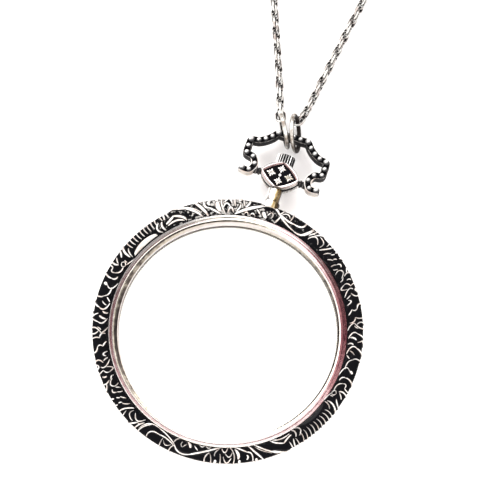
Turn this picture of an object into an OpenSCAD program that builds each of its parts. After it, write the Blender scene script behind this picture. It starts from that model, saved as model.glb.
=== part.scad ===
// Magnifier pendant on a chain: a lens in a cast and polished ring frame, a lozenge crown with a
// fluted knob, a hinged bow set with pearls, two jump rings and a long fine chain.
// It lies on its back on a surface: X across the pendant, Y towards the chain, Z up, millimetres.

/* [Ring frame] */
// Outer diameter of the frame, over its raised ornament
ring_d = 56; // [52:0.5:62]
// Height of the frame's widest line, and of the crown's middle, over the surface
mid = 3.8; // [3.6:0.1:4.2]
// Width of the ornamented band, seen from the front
band_w = 3.15; // [2.6:0.05:3.8]
// How far the band's crest stands over the line between its edges
band_crest = 1.2; // [0.9:0.05:1.5]
// How far the band's inner edge lies below its widest line
band_fall = 0.4; // [0.2:0.05:0.5]
// Width of the polished rim inside the band
rim_w = 1; // [0.8:0.05:1.2]
// How far the rim slopes down to the ledge
rim_fall = 1; // [0.8:0.05:1.1]
// Width of the ledge between the rim and the lens
ledge_w = 1; // [0.85:0.05:1.2]
// Height of the raised ornament over its ground
relief_h = 0.25; // [0.15:0.05:0.35]
// Width of an ornament strand, for a share of 1 in the chart
strand_w = 0.34; // [0.26:0.02:0.42]

/* [Lens] */
// How far the seat laps over the lens's edge
lens_seat = 0.7; // [0.5:0.05:0.85]
// Thickness of the lens at its edge
lens_edge_t = 0.9; // [0.8:0.05:1]
// Thickness of the lens at its middle
lens_mid_t = 3.9; // [3:0.1:4.6]
// Gap between the lens and its seat and bore
lens_fit = 0.05; // [0.03:0.01:0.08]
// Height over the surface of the ring that holds the lens in from behind
keeper_lift = 0.08; // [0.05:0.01:0.15]

/* [Crown] */
// Diameter of the neck at its foot
neck_foot_d = 3.8; // [3.2:0.1:4.2]
// Diameter of the neck under the crown
neck_d = 3.1; // [2.4:0.1:3.5]
// Length of the neck between the frame and the crown
neck_len = 3.3; // [2:0.1:5]
// Width of the lozenge, tip to tip
crown_w = 8.2; // [7.4:0.1:8.8]
// Height of the lozenge, neck to knob
crown_h = 6; // [5.4:0.1:6.6]
// Thickness of the lozenge, front to back
crown_t = 4.5; // [3.8:0.1:4.9]
// Depth of the lozenge's panels
panel_drop = 0.5; // [0.35:0.05:0.6]
// Diameter of the fluted knob
knob_d = 3.8; // [3:0.1:4.2]
// Length of the fluted knob
knob_len = 2.1; // [1.6:0.1:3]
// Number of flutes round the knob
flute_count = 20; // [16:1:24]

/* [Bow] */
// Width of the bow between its outermost pearls
bow_w = 16.8; // [15.5:0.1:19]
// Height of the bow from its hinge to its top pearl
bow_h = 9.5; // [8.8:0.1:11]
// Width of the bow's bar
bar_w = 1.5; // [1.3:0.05:1.7]
// Thickness of the bow's bar
bar_t = 1.9; // [1.5:0.05:2]
// Diameter of an ordinary pearl
pearl_d = 1; // [0.8:0.05:1.05]
// Diameter of a pearl at a corner or an end
corner_pearl_d = 1.25; // [1:0.05:1.35]
// How far the bow leans down from level, its top towards the surface
bow_drop = 7; // [6:0.5:8]
// Diameter of the hinge pins
pin_d = 1.1; // [0.9:0.05:1.2]
// Gap all round a hinge pin
pin_fit = 0.05; // [0.03:0.01:0.08]
// Gap between the lozenge's tips and the bow
ear_gap = 0.3; // [0.2:0.05:0.5]

/* [Jump rings] */
// Outer diameter of the two jump rings
jump_d = 8.5; // [8.3:0.1:9]
// Wire of the jump rings
jump_wire = 0.9; // [0.7:0.05:1]
// Length of the oval end links, outside
link_len = 3.6; // [3.4:0.1:4.4]
// Width of the oval end links, outside
link_w = 2.4; // [2.3:0.1:2.9]
// Wire of the oval end links
link_wire = 0.55; // [0.4:0.05:0.6]

/* [Chain] */
// Width of the chain
chain_w = 1.85; // [1.4:0.05:2]
// How far the chain's loop reaches beyond the bow
loop_reach = 319; // [300:1:340]

/* [Hidden] */

// Radii of the frame, worked out from its outside inwards
ring_r = ring_d / 2;
ground_r = ring_r - relief_h;
band_r = ground_r - band_w;
rim_r = band_r - rim_w;
lip_r = rim_r - ledge_w;
lens_r = lip_r + lens_seat;
bore_r = lens_r + lens_fit;
back_edge = 0.25;
back_w = 2;
back_r = bore_r + back_w;

// Heights of the frame and the lens, measured from the frame's widest line. lens_h is the height
// of the lens's front over its own flat back.
rim_z = -band_fall - rim_fall;
ledge_fall = 0.1;
ledge_z = rim_z - ledge_fall;
lip_t = 0.45;
seat_z = ledge_z - lip_t;
flank_reach = 1.2;
lens_sag = lens_mid_t - lens_edge_t;
lens_ball_r = (lens_r * lens_r + lens_sag * lens_sag) / (2 * lens_sag);
function lens_h(r) = sqrt(lens_ball_r ^ 2 - r ^ 2) - lens_ball_r + lens_mid_t;
lens_z = seat_z - lens_fit - lens_h(lip_r);
keeper_t = mid + lens_z - lens_fit - keeper_lift;
keeper_edge = 0.15;

// The ornament runs round the band twice. Each row of the chart is a strand that passes through
// three places, each an angle in chart degrees and a share of the band's width from its inner
// edge, and then its width as a share of strand_w.
neck_at = 71.5;
towards_neck = 90;
repeats = 2;
strand_chart = [
  // angle, share, angle, share, angle, share, width
  [49.2, 0.85, 51.6, 0.22, 57, 0.1, 1.2],
  [57, 0.1, 62, 0.27, 66, 0.55, 1.1],
  [66, 0.55, 69, 0.86, 73.5, 0.8, 1.5],
  [73.5, 0.8, 79.5, 0.43, 86.5, 0.04, 1.8],
  [53.6, 0.95, 54.3, 0.55, 58, 0.44, 1.2],
  [58, 0.44, 62, 0.44, 66.5, 0.66, 1.2],
  [60.3, 1.1, 60.1, 0.8, 60.2, 0.48, 0.9],
  [65.2, 0.45, 65.8, 0.22, 67, 0.04, 1.1],
  [71.3, 0.1, 72.6, 0.24, 73, 0.4, 2.3],
  [80.3, 1.1, 80.2, 0.75, 81.8, 0.45, 1.2],
  [86.4, 1.1, 86.8, 0.8, 86.5, 0.45, 1.1],
  [88, 0.62, 89.3, 0.95, 91.4, 0.72, 1.2],
  [87.2, 0.1, 88.6, 0.37, 90, 0.06, 1.2],
  [91.7, 1.1, 92.8, 0.6, 91.1, 0.04, 1.1],
  [94.3, 0.78, 94.6, 0.5, 93.6, 0.2, 2.4],
  [100.2, 1.1, 100.5, 0.6, 98.5, 0.42, 1.3],
  [98.5, 0.42, 96.5, 0.25, 93.2, 0.04, 1.2],
  [105.5, 1.1, 102.3, 0.55, 99.6, 0.04, 1.8],
  [112, 1, 106, 0.45, 102.4, 0.04, 1.4],
  [117, 1.08, 113, 0.95, 109.4, 0.74, 2.2],
  [110.2, 0.06, 112, 0.32, 115.5, 0.55, 1.5],
  [115.5, 0.55, 117.5, 0.4, 120, 0.3, 1.5],
  [119, 1.1, 119.3, 0.85, 119.9, 0.58, 1.3],
  [121.3, 0.55, 122.2, 0.3, 121.4, 0.04, 1.3],
  [140.3, 1.1, 142.9, 0.7, 143.2, 0.2, 1.6],
  [142.9, 1.1, 144.4, 0.8, 145.9, 0.6, 1.3],
  [149, 1.1, 150, 0.75, 149.3, 0.5, 1.3],
  [148.8, 0.19, 151.8, 0.21, 153.4, 0.45, 1],
  [153.9, 1.1, 156, 0.78, 156.3, 0.45, 1.3],
  [159.8, 0.56, 160.8, 0.25, 156.8, 0.04, 1.1],
  [160.3, 0.25, 163.5, 0.29, 165.2, 0.55, 1],
  [165.2, 0.55, 165.9, 0.75, 165.3, 1.1, 1],
  [167, 1.1, 169.4, 0.9, 170.6, 0.65, 1.4],
  [170.6, 0.65, 171, 0.32, 167.6, 0.08, 1.3],
  [173.3, 0.66, 175.3, 0.98, 177.3, 0.6, 1.2],
  [177.3, 0.6, 177.6, 0.33, 175.1, 0.08, 1.2],
  [180, 1.1, 179.9, 0.75, 182.2, 0.42, 1.1],
  [182.2, 0.42, 181.2, 0.2, 179.1, 0.04, 1],
  [190, 1.1, 190.6, 0.85, 188.7, 0.7, 1.2],
  [188.7, 0.7, 188.2, 0.4, 186.2, 0.12, 1.1],
  [195.3, 1.1, 194.3, 0.8, 196, 0.55, 1.1],
  [197.6, 0.76, 198, 0.48, 195.1, 0.12, 1.1],
  [203.9, 1.1, 205.3, 0.85, 204.3, 0.55, 1.1],
  [204, 0.34, 206.5, 0.6, 208.1, 0.34, 1],
  [212.6, 0.68, 213.5, 0.5, 215.2, 0.2, 1.1],
  [218, 1.1, 218.8, 0.65, 221.2, 0.2, 1.2],
  [223.3, 1.1, 225.5, 0.9, 227, 0.65, 1.2],
  [223.5, 0.34, 226.5, 0.6, 228.8, 0.2, 1.1]
];
strand_steps = 4;
strand_tip = 0.35;
comb_bars = 9;
comb_from = [122.9, 123.9];
comb_pitch = [1.97, 1.9];
comb_shares = [1.1, 0.43];
dome_at = [133.5, 0.08];
dome_span = [7.4, 0.25];
dome_steps = 8;

// The crown stands off the frame on its neck, and its tips and its top and bottom are cut flat.
crown_y = ring_r + neck_len + crown_h / 2;
tip_cut = 0.1;
top_cut = 0.3;
cutter = 2;
ear_x = crown_w / 2 - tip_cut;
seat_y = crown_h / 2 - top_cut;
stem_gap = 0.05;
foot_wrap = 0.6;
foot_collar = 0.5;
foot_taper = 0.4;
crown_sides = 32;
// Each row is a ring of the lozenge's front half: its height over the middle as a share of half
// the thickness, its size as a share of the lozenge, and how round its outline is.
crown_rings = [
  // height, size, roundness
  [0, 0.94, 1.5],
  [0.12, 0.94, 1.5],
  [0.24, 1.01, 1.5],
  [0.6, 1.03, 1.5],
  [0.85, 1.01, 1.45],
  [1, 0.96, 1.35],
  [1, 0.93, 1.25]
];
floret_d = 1.85;
floret_at = [[-0.47, 0], [0.47, 0], [0, 0.46], [0, -0.46]];
floret_points = 8;
floret_h = 0.24;
long_petal = 1;
short_petal = 0.6;
petal_notch = 0.45;
bead_d = 0.7;
bead_h = 0.4;
work_sunk = 0.1;
panel_taper = 0.06;
knob_y = crown_y + seat_y + stem_gap;
flute_d = 0.42;
bore_depth = 1.9;

// Right half of the bow's middle line, end to top: across as a share of half its width, up as a
// share of its height, and whether a large pearl sits there.
bow_half = [
  // across, up, large
  [0.97, -0.08, 1],
  [0.79, -0.075, 0],
  [0.7, 0.1, 0],
  [0.8, 0.255, 0],
  [0.985, 0.31, 0],
  [1, 0.47, 0],
  [0.985, 0.64, 1],
  [0.8, 0.68, 0],
  [0.645, 0.755, 0],
  [0.505, 0.865, 0],
  [0.385, 0.985, 1],
  [0.185, 0.99, 0],
  [0, 1, 0]
];
bow_turn = len(bow_half) - 1;
bow_line = [for (i = [-bow_turn:bow_turn]) let (row = bow_half[bow_turn - abs(i)])
  [(i < 0 ? -1 : 1) * row[0] * bow_w / 2, row[1] * bow_h]];
// The bar runs on past its last pearls, by this much.
bar_reach = 0.72;
channel_w = bar_w - 0.36;
channel_drop = 0.25;
pearl_sunk = 0.1;
ear_d = 1.6;
pin_reach = 1.5;
pin_root = 0.5;

// Jump rings stand on edge round the bow's top bar. Each plan heading turns from +Y to the left,
// and a lean takes a ring's top to the left.
jump_r = (jump_d - jump_wire) / 2;
bar_y = crown_y + bow_h * cos(bow_drop);
left_heading = 30;
left_lean = 2;
left_centre = [-2.45, bar_y + 0.8, jump_d / 2];
right_heading = 17;
right_lean = 14;
right_centre = [0.1, bar_y + 0.8, jump_d / 2];
// Where a link hangs on each ring, in degrees below the ring's outermost point
left_hang = 32;
right_hang = 35;
left_pull = [-0.36, 0.9, -0.3];
right_pull = [0.2, 0.95, -0.3];
link_gap = 0.08;

// The chain's course round its loop, measured from the middle of the bow's top bar, as drawn.
// The course is then brought to the loop's reach.
chain_clear = 0.02;
chain_gap = 0.15;
strand_gap = 0.05;
chain_sides = 8;
chain_splits = 2;
drawn_route = [[-7, 12], [-14, 29.5], [-20, 43], [-29, 61], [-39, 79], [-50, 96], [-60, 113],
  [-71, 130], [-81, 147], [-92, 165], [-103, 182], [-112, 200], [-117, 219], [-117, 239],
  [-113, 259], [-105, 277], [-92, 293], [-77, 306], [-59, 315], [-40, 319],
  [-22, 318], [-2, 314], [16, 306], [32, 294], [44, 279], [53, 261], [58, 241], [57, 221],
  [53, 201], [47, 182], [41, 163], [34, 144], [28, 125], [22, 105], [16, 86], [11, 67],
  [7, 47.5], [4.5, 35.5], [1, 10]];
drawn_reach = max([for (p = drawn_route) p[1]]);
chain_route = [for (p = drawn_route) p * loop_reach / drawn_reach];
left_count = 20;

// The origin is the middle of the whole footprint, on the surface.
route_x = [for (p = chain_route) p[0]];
route_y = [for (p = chain_route) p[1]];
shift_x = -(max(route_x) + min(route_x)) / 2;
shift_y = -(bar_y + max(route_y) + chain_w / 2 - ring_r) / 2;

function unit(v) = v / norm(v);
function frame_of(p, x, z) = let (y = cross(z, x))
  [[x[0], y[0], z[0], p[0]], [x[1], y[1], z[1], p[1]], [x[2], y[2], z[2], p[2]], [0, 0, 0, 1]];
function heading(a) = [-sin(a), cos(a), 0];
function leaning(a, lean) = [-cos(a) * sin(lean), -sin(a) * sin(lean), cos(lean)];

module placed() {
  translate([shift_x, shift_y, 0]) children();
}

// Frame: a domed band in front and a curved back, a ground that the raised strands stand off
facets = 3;
function back_curve(grow) = [for (i = [facets:-1:1]) let (t = i * 90 / facets)
  [back_r + (ground_r + grow - back_r) * cos(t), -mid * sin(t)]];
function band_curve(grow) = [for (i = [0:2 * facets]) let (t = i * 90 / facets)
  [band_r + band_w / 2 + (band_w / 2 + grow) * cos(t),
    (band_crest + grow) * sin(t) - band_fall * (1 - cos(t)) / 2]];

module band_shell(grow) {
  rotate_extrude($fn = 180) polygon(concat([[band_r, -mid]], back_curve(grow), band_curve(grow)));
}

function plan(angle, share) = let (a = angle - neck_at + towards_neck, r = band_r + share * band_w)
  [r * cos(a), r * sin(a)];

function strand_point(row, t) =
  let (a = 2 * (t - 0.5) * (t - 1), b = -4 * t * (t - 1), c = 2 * t * (t - 0.5))
  plan(a * row[0] + b * row[2] + c * row[4], a * row[1] + b * row[3] + c * row[5]);

function line_side(line, widths, side) = [for (i = [0:len(line) - 1])
  let (d = unit(line[min(i + 1, len(line) - 1)] - line[max(i - 1, 0)]))
  line[i] + side * widths[i] / 2 * [-d[1], d[0]]];

function reversed(list) = [for (i = [len(list) - 1:-1:0]) list[i]];

function strip(line, widths) = concat(line_side(line, widths, 1), reversed(line_side(line, widths, -1)));

module strand(row) {
  line = [for (i = [0:strand_steps]) strand_point(row, i / strand_steps)];
  widths = [for (i = [0:strand_steps])
    row[6] * strand_w * (1 - (1 - strand_tip) * abs(2 * i / strand_steps - 1) ^ 2)];
  polygon(strip(line, widths));
}

module comb() {
  for (k = [0:comb_bars - 1]) {
    top = comb_from[0] + k * comb_pitch[0];
    foot = comb_from[1] + k * comb_pitch[1];
    line = [plan(top, comb_shares[0]), plan(foot, comb_shares[1])];
    polygon(strip(line, [strand_w, strand_w]));
  }
}

module dome() {
  polygon([for (i = [0:dome_steps]) let (a = 180 * i / dome_steps)
    plan(dome_at[0] + dome_span[0] * cos(a), dome_at[1] + dome_span[1] * sin(a))]);
}

module ornament() {
  for (turn = [0:repeats - 1])
    rotate(turn * 360 / repeats) {
      for (row = strand_chart) strand(row);
      comb();
      dome();
    }
}

module frame() {
  section = concat(
    back_curve(0), band_curve(0),
    [[rim_r, rim_z], [lip_r, ledge_z], [lip_r, seat_z], [bore_r, seat_z],
      [bore_r, -mid + back_edge], [bore_r + back_edge, -mid]]);
  color("silver") placed() translate([0, 0, mid]) union() {
    rotate_extrude($fn = 180) polygon(section);
    intersection() {
      band_shell(relief_h);
      translate([0, 0, -flank_reach]) linear_extrude(height = 2 * mid) ornament();
    }
  }
}

// Lens: a flat back and a domed front over a cylindrical edge
module lens() {
  color("lightcyan", 0.5) placed() translate([0, 0, mid + lens_z]) intersection() {
    cylinder(r = lens_r, h = 2 * lens_mid_t, $fn = 180);
    translate([0, 0, lens_mid_t - lens_ball_r]) sphere(r = lens_ball_r, $fn = 240);
  }
}

// Keeper: the ring that closes the seat behind the lens
module lens_keeper() {
  outer = bore_r - lens_fit / 2;
  color("darkkhaki") placed() translate([0, 0, keeper_lift])
    rotate_extrude($fn = 180)
      polygon([[lip_r, keeper_edge], [lip_r + keeper_edge, 0], [outer, 0], [outer, keeper_t],
        [lip_r, keeper_t]]);
}

// Neck: a turned stem whose foot follows the band
module neck() {
  foot_y = ground_r - foot_wrap;
  top_y = crown_y - seat_y - stem_gap;
  shank_y = ring_r + foot_collar;
  color("gainsboro") placed() translate([0, 0, mid]) difference() {
    rotate([-90, 0, 0]) rotate_extrude($fn = 64)
      polygon([[0, foot_y], [neck_foot_d / 2, foot_y], [neck_foot_d / 2, shank_y],
        [neck_d / 2, shank_y + foot_taper], [neck_d / 2, top_y], [0, top_y]]);
    band_shell(relief_h + stem_gap);
  }
}

// Lozenge: a pillow with a panel, front and back, lofted through the rings of its table
function lozenge_point(size, roundness, i) = let (a = 360 * i / crown_sides)
  [size * crown_w / 2 * sign(cos(a)) * abs(cos(a)) ^ (2 / roundness),
    size * crown_h / 2 * sign(sin(a)) * abs(sin(a)) ^ (2 / roundness)];

module crown_loft() {
  last = crown_rings[len(crown_rings) - 1];
  front = concat([for (row = crown_rings) [row[0] * crown_t / 2, row[1], row[2]]],
    [[crown_t / 2 - panel_drop, last[1] - panel_taper, last[2]]]);
  rows = concat([for (i = [len(front) - 1:-1:1]) [-front[i][0], front[i][1], front[i][2]]], front);
  points = concat(
    [for (row = rows) for (i = [0:crown_sides - 1])
      concat(lozenge_point(row[1], row[2], i), [row[0]])],
    [[0, 0, rows[0][0]], [0, 0, rows[len(rows) - 1][0]]]);
  base = (len(rows) - 1) * crown_sides;
  faces = concat(
    [for (j = [0:len(rows) - 2]) for (i = [0:crown_sides - 1]) let (n = (i + 1) % crown_sides)
      [j * crown_sides + i, (j + 1) * crown_sides + i, (j + 1) * crown_sides + n]],
    [for (j = [0:len(rows) - 2]) for (i = [0:crown_sides - 1]) let (n = (i + 1) % crown_sides)
      [j * crown_sides + i, (j + 1) * crown_sides + n, j * crown_sides + n]],
    [for (i = [0:crown_sides - 1]) [i, (i + 1) % crown_sides, base + crown_sides]],
    [for (i = [0:crown_sides - 1])
      [base + (i + 1) % crown_sides, base + i, base + crown_sides + 1]]);
  polyhedron(points, faces);
}

module floret() {
  linear_extrude(height = floret_h + work_sunk)
    polygon([for (i = [0:2 * floret_points - 1]) let (a = 180 * i / floret_points,
      share = i % 2 == 1 ? petal_notch : (i % 4 == 0 ? long_petal : short_petal),
      r = share * floret_d / 2) [r * cos(a), r * sin(a)]]);
}

module panel_work() {
  translate([0, 0, crown_t / 2 - panel_drop - work_sunk]) {
    for (at = floret_at) translate([at[0] * crown_w / 2, at[1] * crown_h / 2, 0]) floret();
    cylinder(d = bead_d, h = bead_h, $fn = 24);
  }
}

module crown_body() {
  color("silver") placed() translate([0, crown_y, mid]) difference() {
    union() {
      crown_loft();
      panel_work();
      rotate([0, 180, 0]) panel_work();
    }
    for (side = [-1, 1]) {
      translate([side * (ear_x + cutter / 2), 0, 0])
        cube([cutter, crown_h, 2 * crown_t], center = true);
      translate([0, side * (seat_y + cutter / 2), 0])
        cube([crown_w, cutter, 2 * crown_t], center = true);
      translate([side * (ear_x - bore_depth), 0, 0]) rotate([0, side * 90, 0])
        cylinder(d = pin_d + 2 * pin_fit, h = bore_depth + 1, $fn = 48);
    }
  }
}

// Knob: a short fluted cylinder on the lozenge's top
module crown_knob() {
  color("gainsboro") placed() translate([0, knob_y, mid]) rotate([-90, 0, 0]) difference() {
    cylinder(d = knob_d, h = knob_len, $fn = 96);
    for (i = [0:flute_count - 1])
      rotate((i + 0.5) * 360 / flute_count) translate([knob_d / 2, 0, -1])
        cylinder(d = flute_d, h = knob_len + 2, $fn = 24);
  }
}

// Bow: one casting, its bar along the line of pearls, with a sunk channel, ears and hinge pins
function bar_end(last, before) = last + bar_reach * unit(last - before);
bar_line = concat([bar_end(bow_line[0], bow_line[1])], bow_line,
  [bar_end(bow_line[2 * bow_turn], bow_line[2 * bow_turn - 1])]);

module bar_strip(w) {
  polygon(strip(bar_line, [for (p = bar_line) w]));
}

module bow() {
  color("silver") placed() translate([0, crown_y, mid]) rotate([-bow_drop, 0, 0]) union() {
    difference() {
      translate([0, 0, -bar_t / 2]) linear_extrude(height = bar_t) bar_strip(bar_w);
      translate([0, 0, bar_t / 2 - channel_drop]) linear_extrude(height = 1) bar_strip(channel_w);
    }
    for (i = [-bow_turn:bow_turn]) {
      at = bow_line[i + bow_turn];
      d = bow_half[bow_turn - abs(i)][2] == 1 ? corner_pearl_d : pearl_d;
      translate([at[0], at[1], bar_t / 2 - channel_drop + d / 2 - pearl_sunk]) sphere(d = d, $fn = 48);
    }
    for (side = [-1, 1]) rotate([0, side * 90, 0]) {
      translate([0, 0, ear_x + ear_gap])
        cylinder(d = ear_d, h = bow_half[2][0] * bow_w / 2 - ear_x - ear_gap, $fn = 48);
      translate([0, 0, ear_x - pin_reach])
        cylinder(d = pin_d, h = pin_reach + ear_gap + pin_root, $fn = 48);
    }
  }
}

// Jump rings and the oval links that hang on them
module jump_ring(centre, turn, lean) {
  multmatrix(frame_of(centre, heading(turn), cross(heading(turn), leaning(turn, lean))))
    rotate_extrude($fn = 96) translate([jump_r, 0]) circle(d = jump_wire, $fn = 32);
}

module jump_ring_left() {
  color("gainsboro") placed() jump_ring(left_centre, left_heading, left_lean);
}

module jump_ring_right() {
  color("gainsboro") placed() jump_ring(right_centre, right_heading, right_lean);
}

function ring_out(turn, lean, hang) = cos(hang) * heading(turn) - sin(hang) * leaning(turn, lean);
function ring_wire(turn, lean, hang) = sin(hang) * heading(turn) + cos(hang) * leaning(turn, lean);
function hang_axis(turn, lean, hang, pull) = let (w = ring_wire(turn, lean, hang))
  unit(pull - (pull * w) * w);

link_half = (link_len - link_wire) / 2;
link_bend = (link_w - link_wire) / 2;
link_seat = link_half - (jump_wire + link_wire) / 2 - link_gap;

module end_link(centre, turn, lean, hang, pull) {
  at = centre + jump_r * ring_out(turn, lean, hang);
  axis = hang_axis(turn, lean, hang, pull);
  multmatrix(frame_of(at + link_seat * axis, axis, ring_wire(turn, lean, hang))) {
    for (side = [0, 1]) rotate(side * 180) {
      translate([link_half - link_bend, 0, 0]) rotate(-90)
        rotate_extrude(angle = 180, $fn = 64) translate([link_bend, 0]) circle(d = link_wire, $fn = 24);
      translate([-(link_half - link_bend), link_bend, 0]) rotate([0, 90, 0])
        cylinder(d = link_wire, h = 2 * (link_half - link_bend), $fn = 24);
    }
  }
}

module end_link_left() {
  color("gainsboro") placed()
    end_link(left_centre, left_heading, left_lean, left_hang, left_pull);
}

module end_link_right() {
  color("gainsboro") placed()
    end_link(right_centre, right_heading, right_lean, right_hang, right_pull);
}

// Chain: a plain tube of the chain's width along its course, in two strands end to end
function link_tip(centre, turn, lean, hang, pull) =
  let (p = centre + jump_r * ring_out(turn, lean, hang)
    + (link_seat + link_half + link_wire / 2 + chain_gap) * hang_axis(turn, lean, hang, pull))
  [p[0], p[1] - bar_y];

chain_line = concat([link_tip(left_centre, left_heading, left_lean, left_hang, left_pull)],
  chain_route,
  [link_tip(right_centre, right_heading, right_lean, right_hang, right_pull)]);

function on_line(i) = chain_line[max(0, min(len(chain_line) - 1, i))];
function on_curve(i, t) = let (a = on_line(i - 1), b = on_line(i), c = on_line(i + 1), d = on_line(i + 2))
  0.5 * (2 * b + (c - a) * t + (2 * a - 5 * b + 4 * c - d) * t ^ 2 + (3 * b - a - 3 * c + d) * t ^ 3);
function curve_part(first, last) = concat(
  [for (i = [first:last - 1]) for (k = [0:chain_splits - 1]) on_curve(i, k / chain_splits)],
  [chain_line[last]]);

module tube(first, last) {
  path = curve_part(first, last);
  ahead = on_curve(last, 0.5);
  behind = on_curve(first - 1, 0.5);
  n = len(path);
  function along(i) = i == 0 && first > 0 ? unit(path[1] - behind)
    : i == n - 1 && last < len(chain_line) - 1 ? unit(ahead - path[n - 2])
    : unit(path[min(i + 1, n - 1)] - path[max(i - 1, 0)]);
  function place(i) = i == 0 && first > 0 ? path[0] + strand_gap * along(0) : path[i];
  points = [for (i = [0:n - 1]) for (k = [0:chain_sides - 1])
    let (p = place(i), d = along(i), a = 360 * (k + 0.5) / chain_sides, r = chain_w / 2)
    [p[0] - d[1] * r * cos(a), p[1] + d[0] * r * cos(a), chain_clear + r + r * sin(a)]];
  faces = concat(
    [[for (k = [0:chain_sides - 1]) k]],
    [for (i = [0:n - 2]) for (k = [0:chain_sides - 1]) let (m = (k + 1) % chain_sides)
      [i * chain_sides + k, (i + 1) * chain_sides + k, (i + 1) * chain_sides + m]],
    [for (i = [0:n - 2]) for (k = [0:chain_sides - 1]) let (m = (k + 1) % chain_sides)
      [i * chain_sides + k, (i + 1) * chain_sides + m, i * chain_sides + m]],
    [[for (k = [chain_sides - 1:-1:0]) (n - 1) * chain_sides + k]]);
  translate([0, bar_y, 0]) polyhedron(points, faces);
}

module chain_left() {
  color("darkgray") placed() tube(0, left_count);
}

module chain_right() {
  color("darkgray") placed() tube(left_count, len(chain_line) - 1);
}

frame();
lens();
lens_keeper();
neck();
crown_body();
crown_knob();
bow();
jump_ring_left();
jump_ring_right();
end_link_left();
end_link_right();
chain_left();
chain_right();
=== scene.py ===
"""Looks of a magnifier pendant on a long fine chain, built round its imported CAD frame.

Every sub-assembly is a class that holds its sizes in millimetres, builds its meshes and dresses
them. The pendant lies on its back, its neck and chain towards +Y, its lens facing up.
"""

import logging
import math
from dataclasses import dataclass
from enum import Enum
from typing import Any, Iterable, Sequence, Union

import bmesh
import bpy
import numpy as np
from mathutils import Matrix, Vector

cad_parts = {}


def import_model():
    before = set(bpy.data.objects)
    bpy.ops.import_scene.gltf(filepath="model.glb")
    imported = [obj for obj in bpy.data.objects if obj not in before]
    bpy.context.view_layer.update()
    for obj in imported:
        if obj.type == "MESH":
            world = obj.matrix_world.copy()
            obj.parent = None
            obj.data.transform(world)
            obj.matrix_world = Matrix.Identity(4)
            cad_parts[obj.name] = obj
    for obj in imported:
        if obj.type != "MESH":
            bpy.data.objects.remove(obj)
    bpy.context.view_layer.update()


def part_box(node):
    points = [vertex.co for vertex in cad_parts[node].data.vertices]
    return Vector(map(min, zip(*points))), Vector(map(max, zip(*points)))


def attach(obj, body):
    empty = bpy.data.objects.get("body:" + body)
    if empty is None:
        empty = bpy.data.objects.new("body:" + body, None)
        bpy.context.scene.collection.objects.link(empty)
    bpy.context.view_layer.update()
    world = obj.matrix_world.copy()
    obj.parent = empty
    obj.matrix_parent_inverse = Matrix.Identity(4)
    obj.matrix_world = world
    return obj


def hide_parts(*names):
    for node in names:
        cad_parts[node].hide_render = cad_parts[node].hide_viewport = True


LOG = logging.getLogger("magnifier_pendant")
MM = 0.001
PHOTO_SIDE = 500

Array = np.ndarray
Number = Union[float, "Wire"]
Colour = tuple[float, float, float, float]
Stops = Sequence[tuple[float, Colour]]
Triple = tuple[float, float, float]
Rows = tuple[tuple[float, ...], ...]


class Body(Enum):
    """The CAD bodies that pieces ride on."""

    PENDANT = "pendant"
    BOW = "bow"


class Slot(Enum):
    """The record's material slots."""

    ANTIQUE = "antique_silver"
    GLASS = "lens_glass"
    KEEPER = "keeper_metal"
    POLISHED = "polished_silver"
    WIRE = "ring_wire"
    CHAIN = "chain_silver"


def rgb(red: float, green: float, blue: float) -> Colour:
    """Returns an opaque colour."""
    return (red, green, blue, 1.0)


class Wire:
    """An output socket of a node tree. Arithmetic on it adds Math nodes."""

    def __init__(self, sheet: "ShaderSheet", socket: bpy.types.NodeSocket) -> None:
        """Keeps the socket and the sheet that it is on."""
        self.sheet = sheet
        self.socket = socket

    def _math(self, operation: str, first: Number, second: Number) -> "Wire":
        """Returns the result of a Math node on two values."""
        return self.sheet.node("ShaderNodeMath", {"operation": operation}, {0: first, 1: second})

    def __add__(self, other: Number) -> "Wire":
        """Returns self + other."""
        return self._math("ADD", self, other)

    def __sub__(self, other: Number) -> "Wire":
        """Returns self - other."""
        return self._math("SUBTRACT", self, other)

    def __rsub__(self, other: Number) -> "Wire":
        """Returns other - self."""
        return self._math("SUBTRACT", other, self)

    def __mul__(self, other: Number) -> "Wire":
        """Returns self * other."""
        return self._math("MULTIPLY", self, other)

    def __pow__(self, other: Number) -> "Wire":
        """Returns self to the power other."""
        return self._math("POWER", self, other)

    __radd__ = __add__
    __rmul__ = __mul__

    def fade(self, low: float, high: float) -> "Wire":
        """Returns 0 below low and 1 above high, with a smooth step between them."""
        return self.sheet.node("ShaderNodeMapRange", {"interpolation_type": "SMOOTHSTEP"},
                               {0: self, 1: low, 2: high, 3: 0.0, 4: 1.0})


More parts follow.
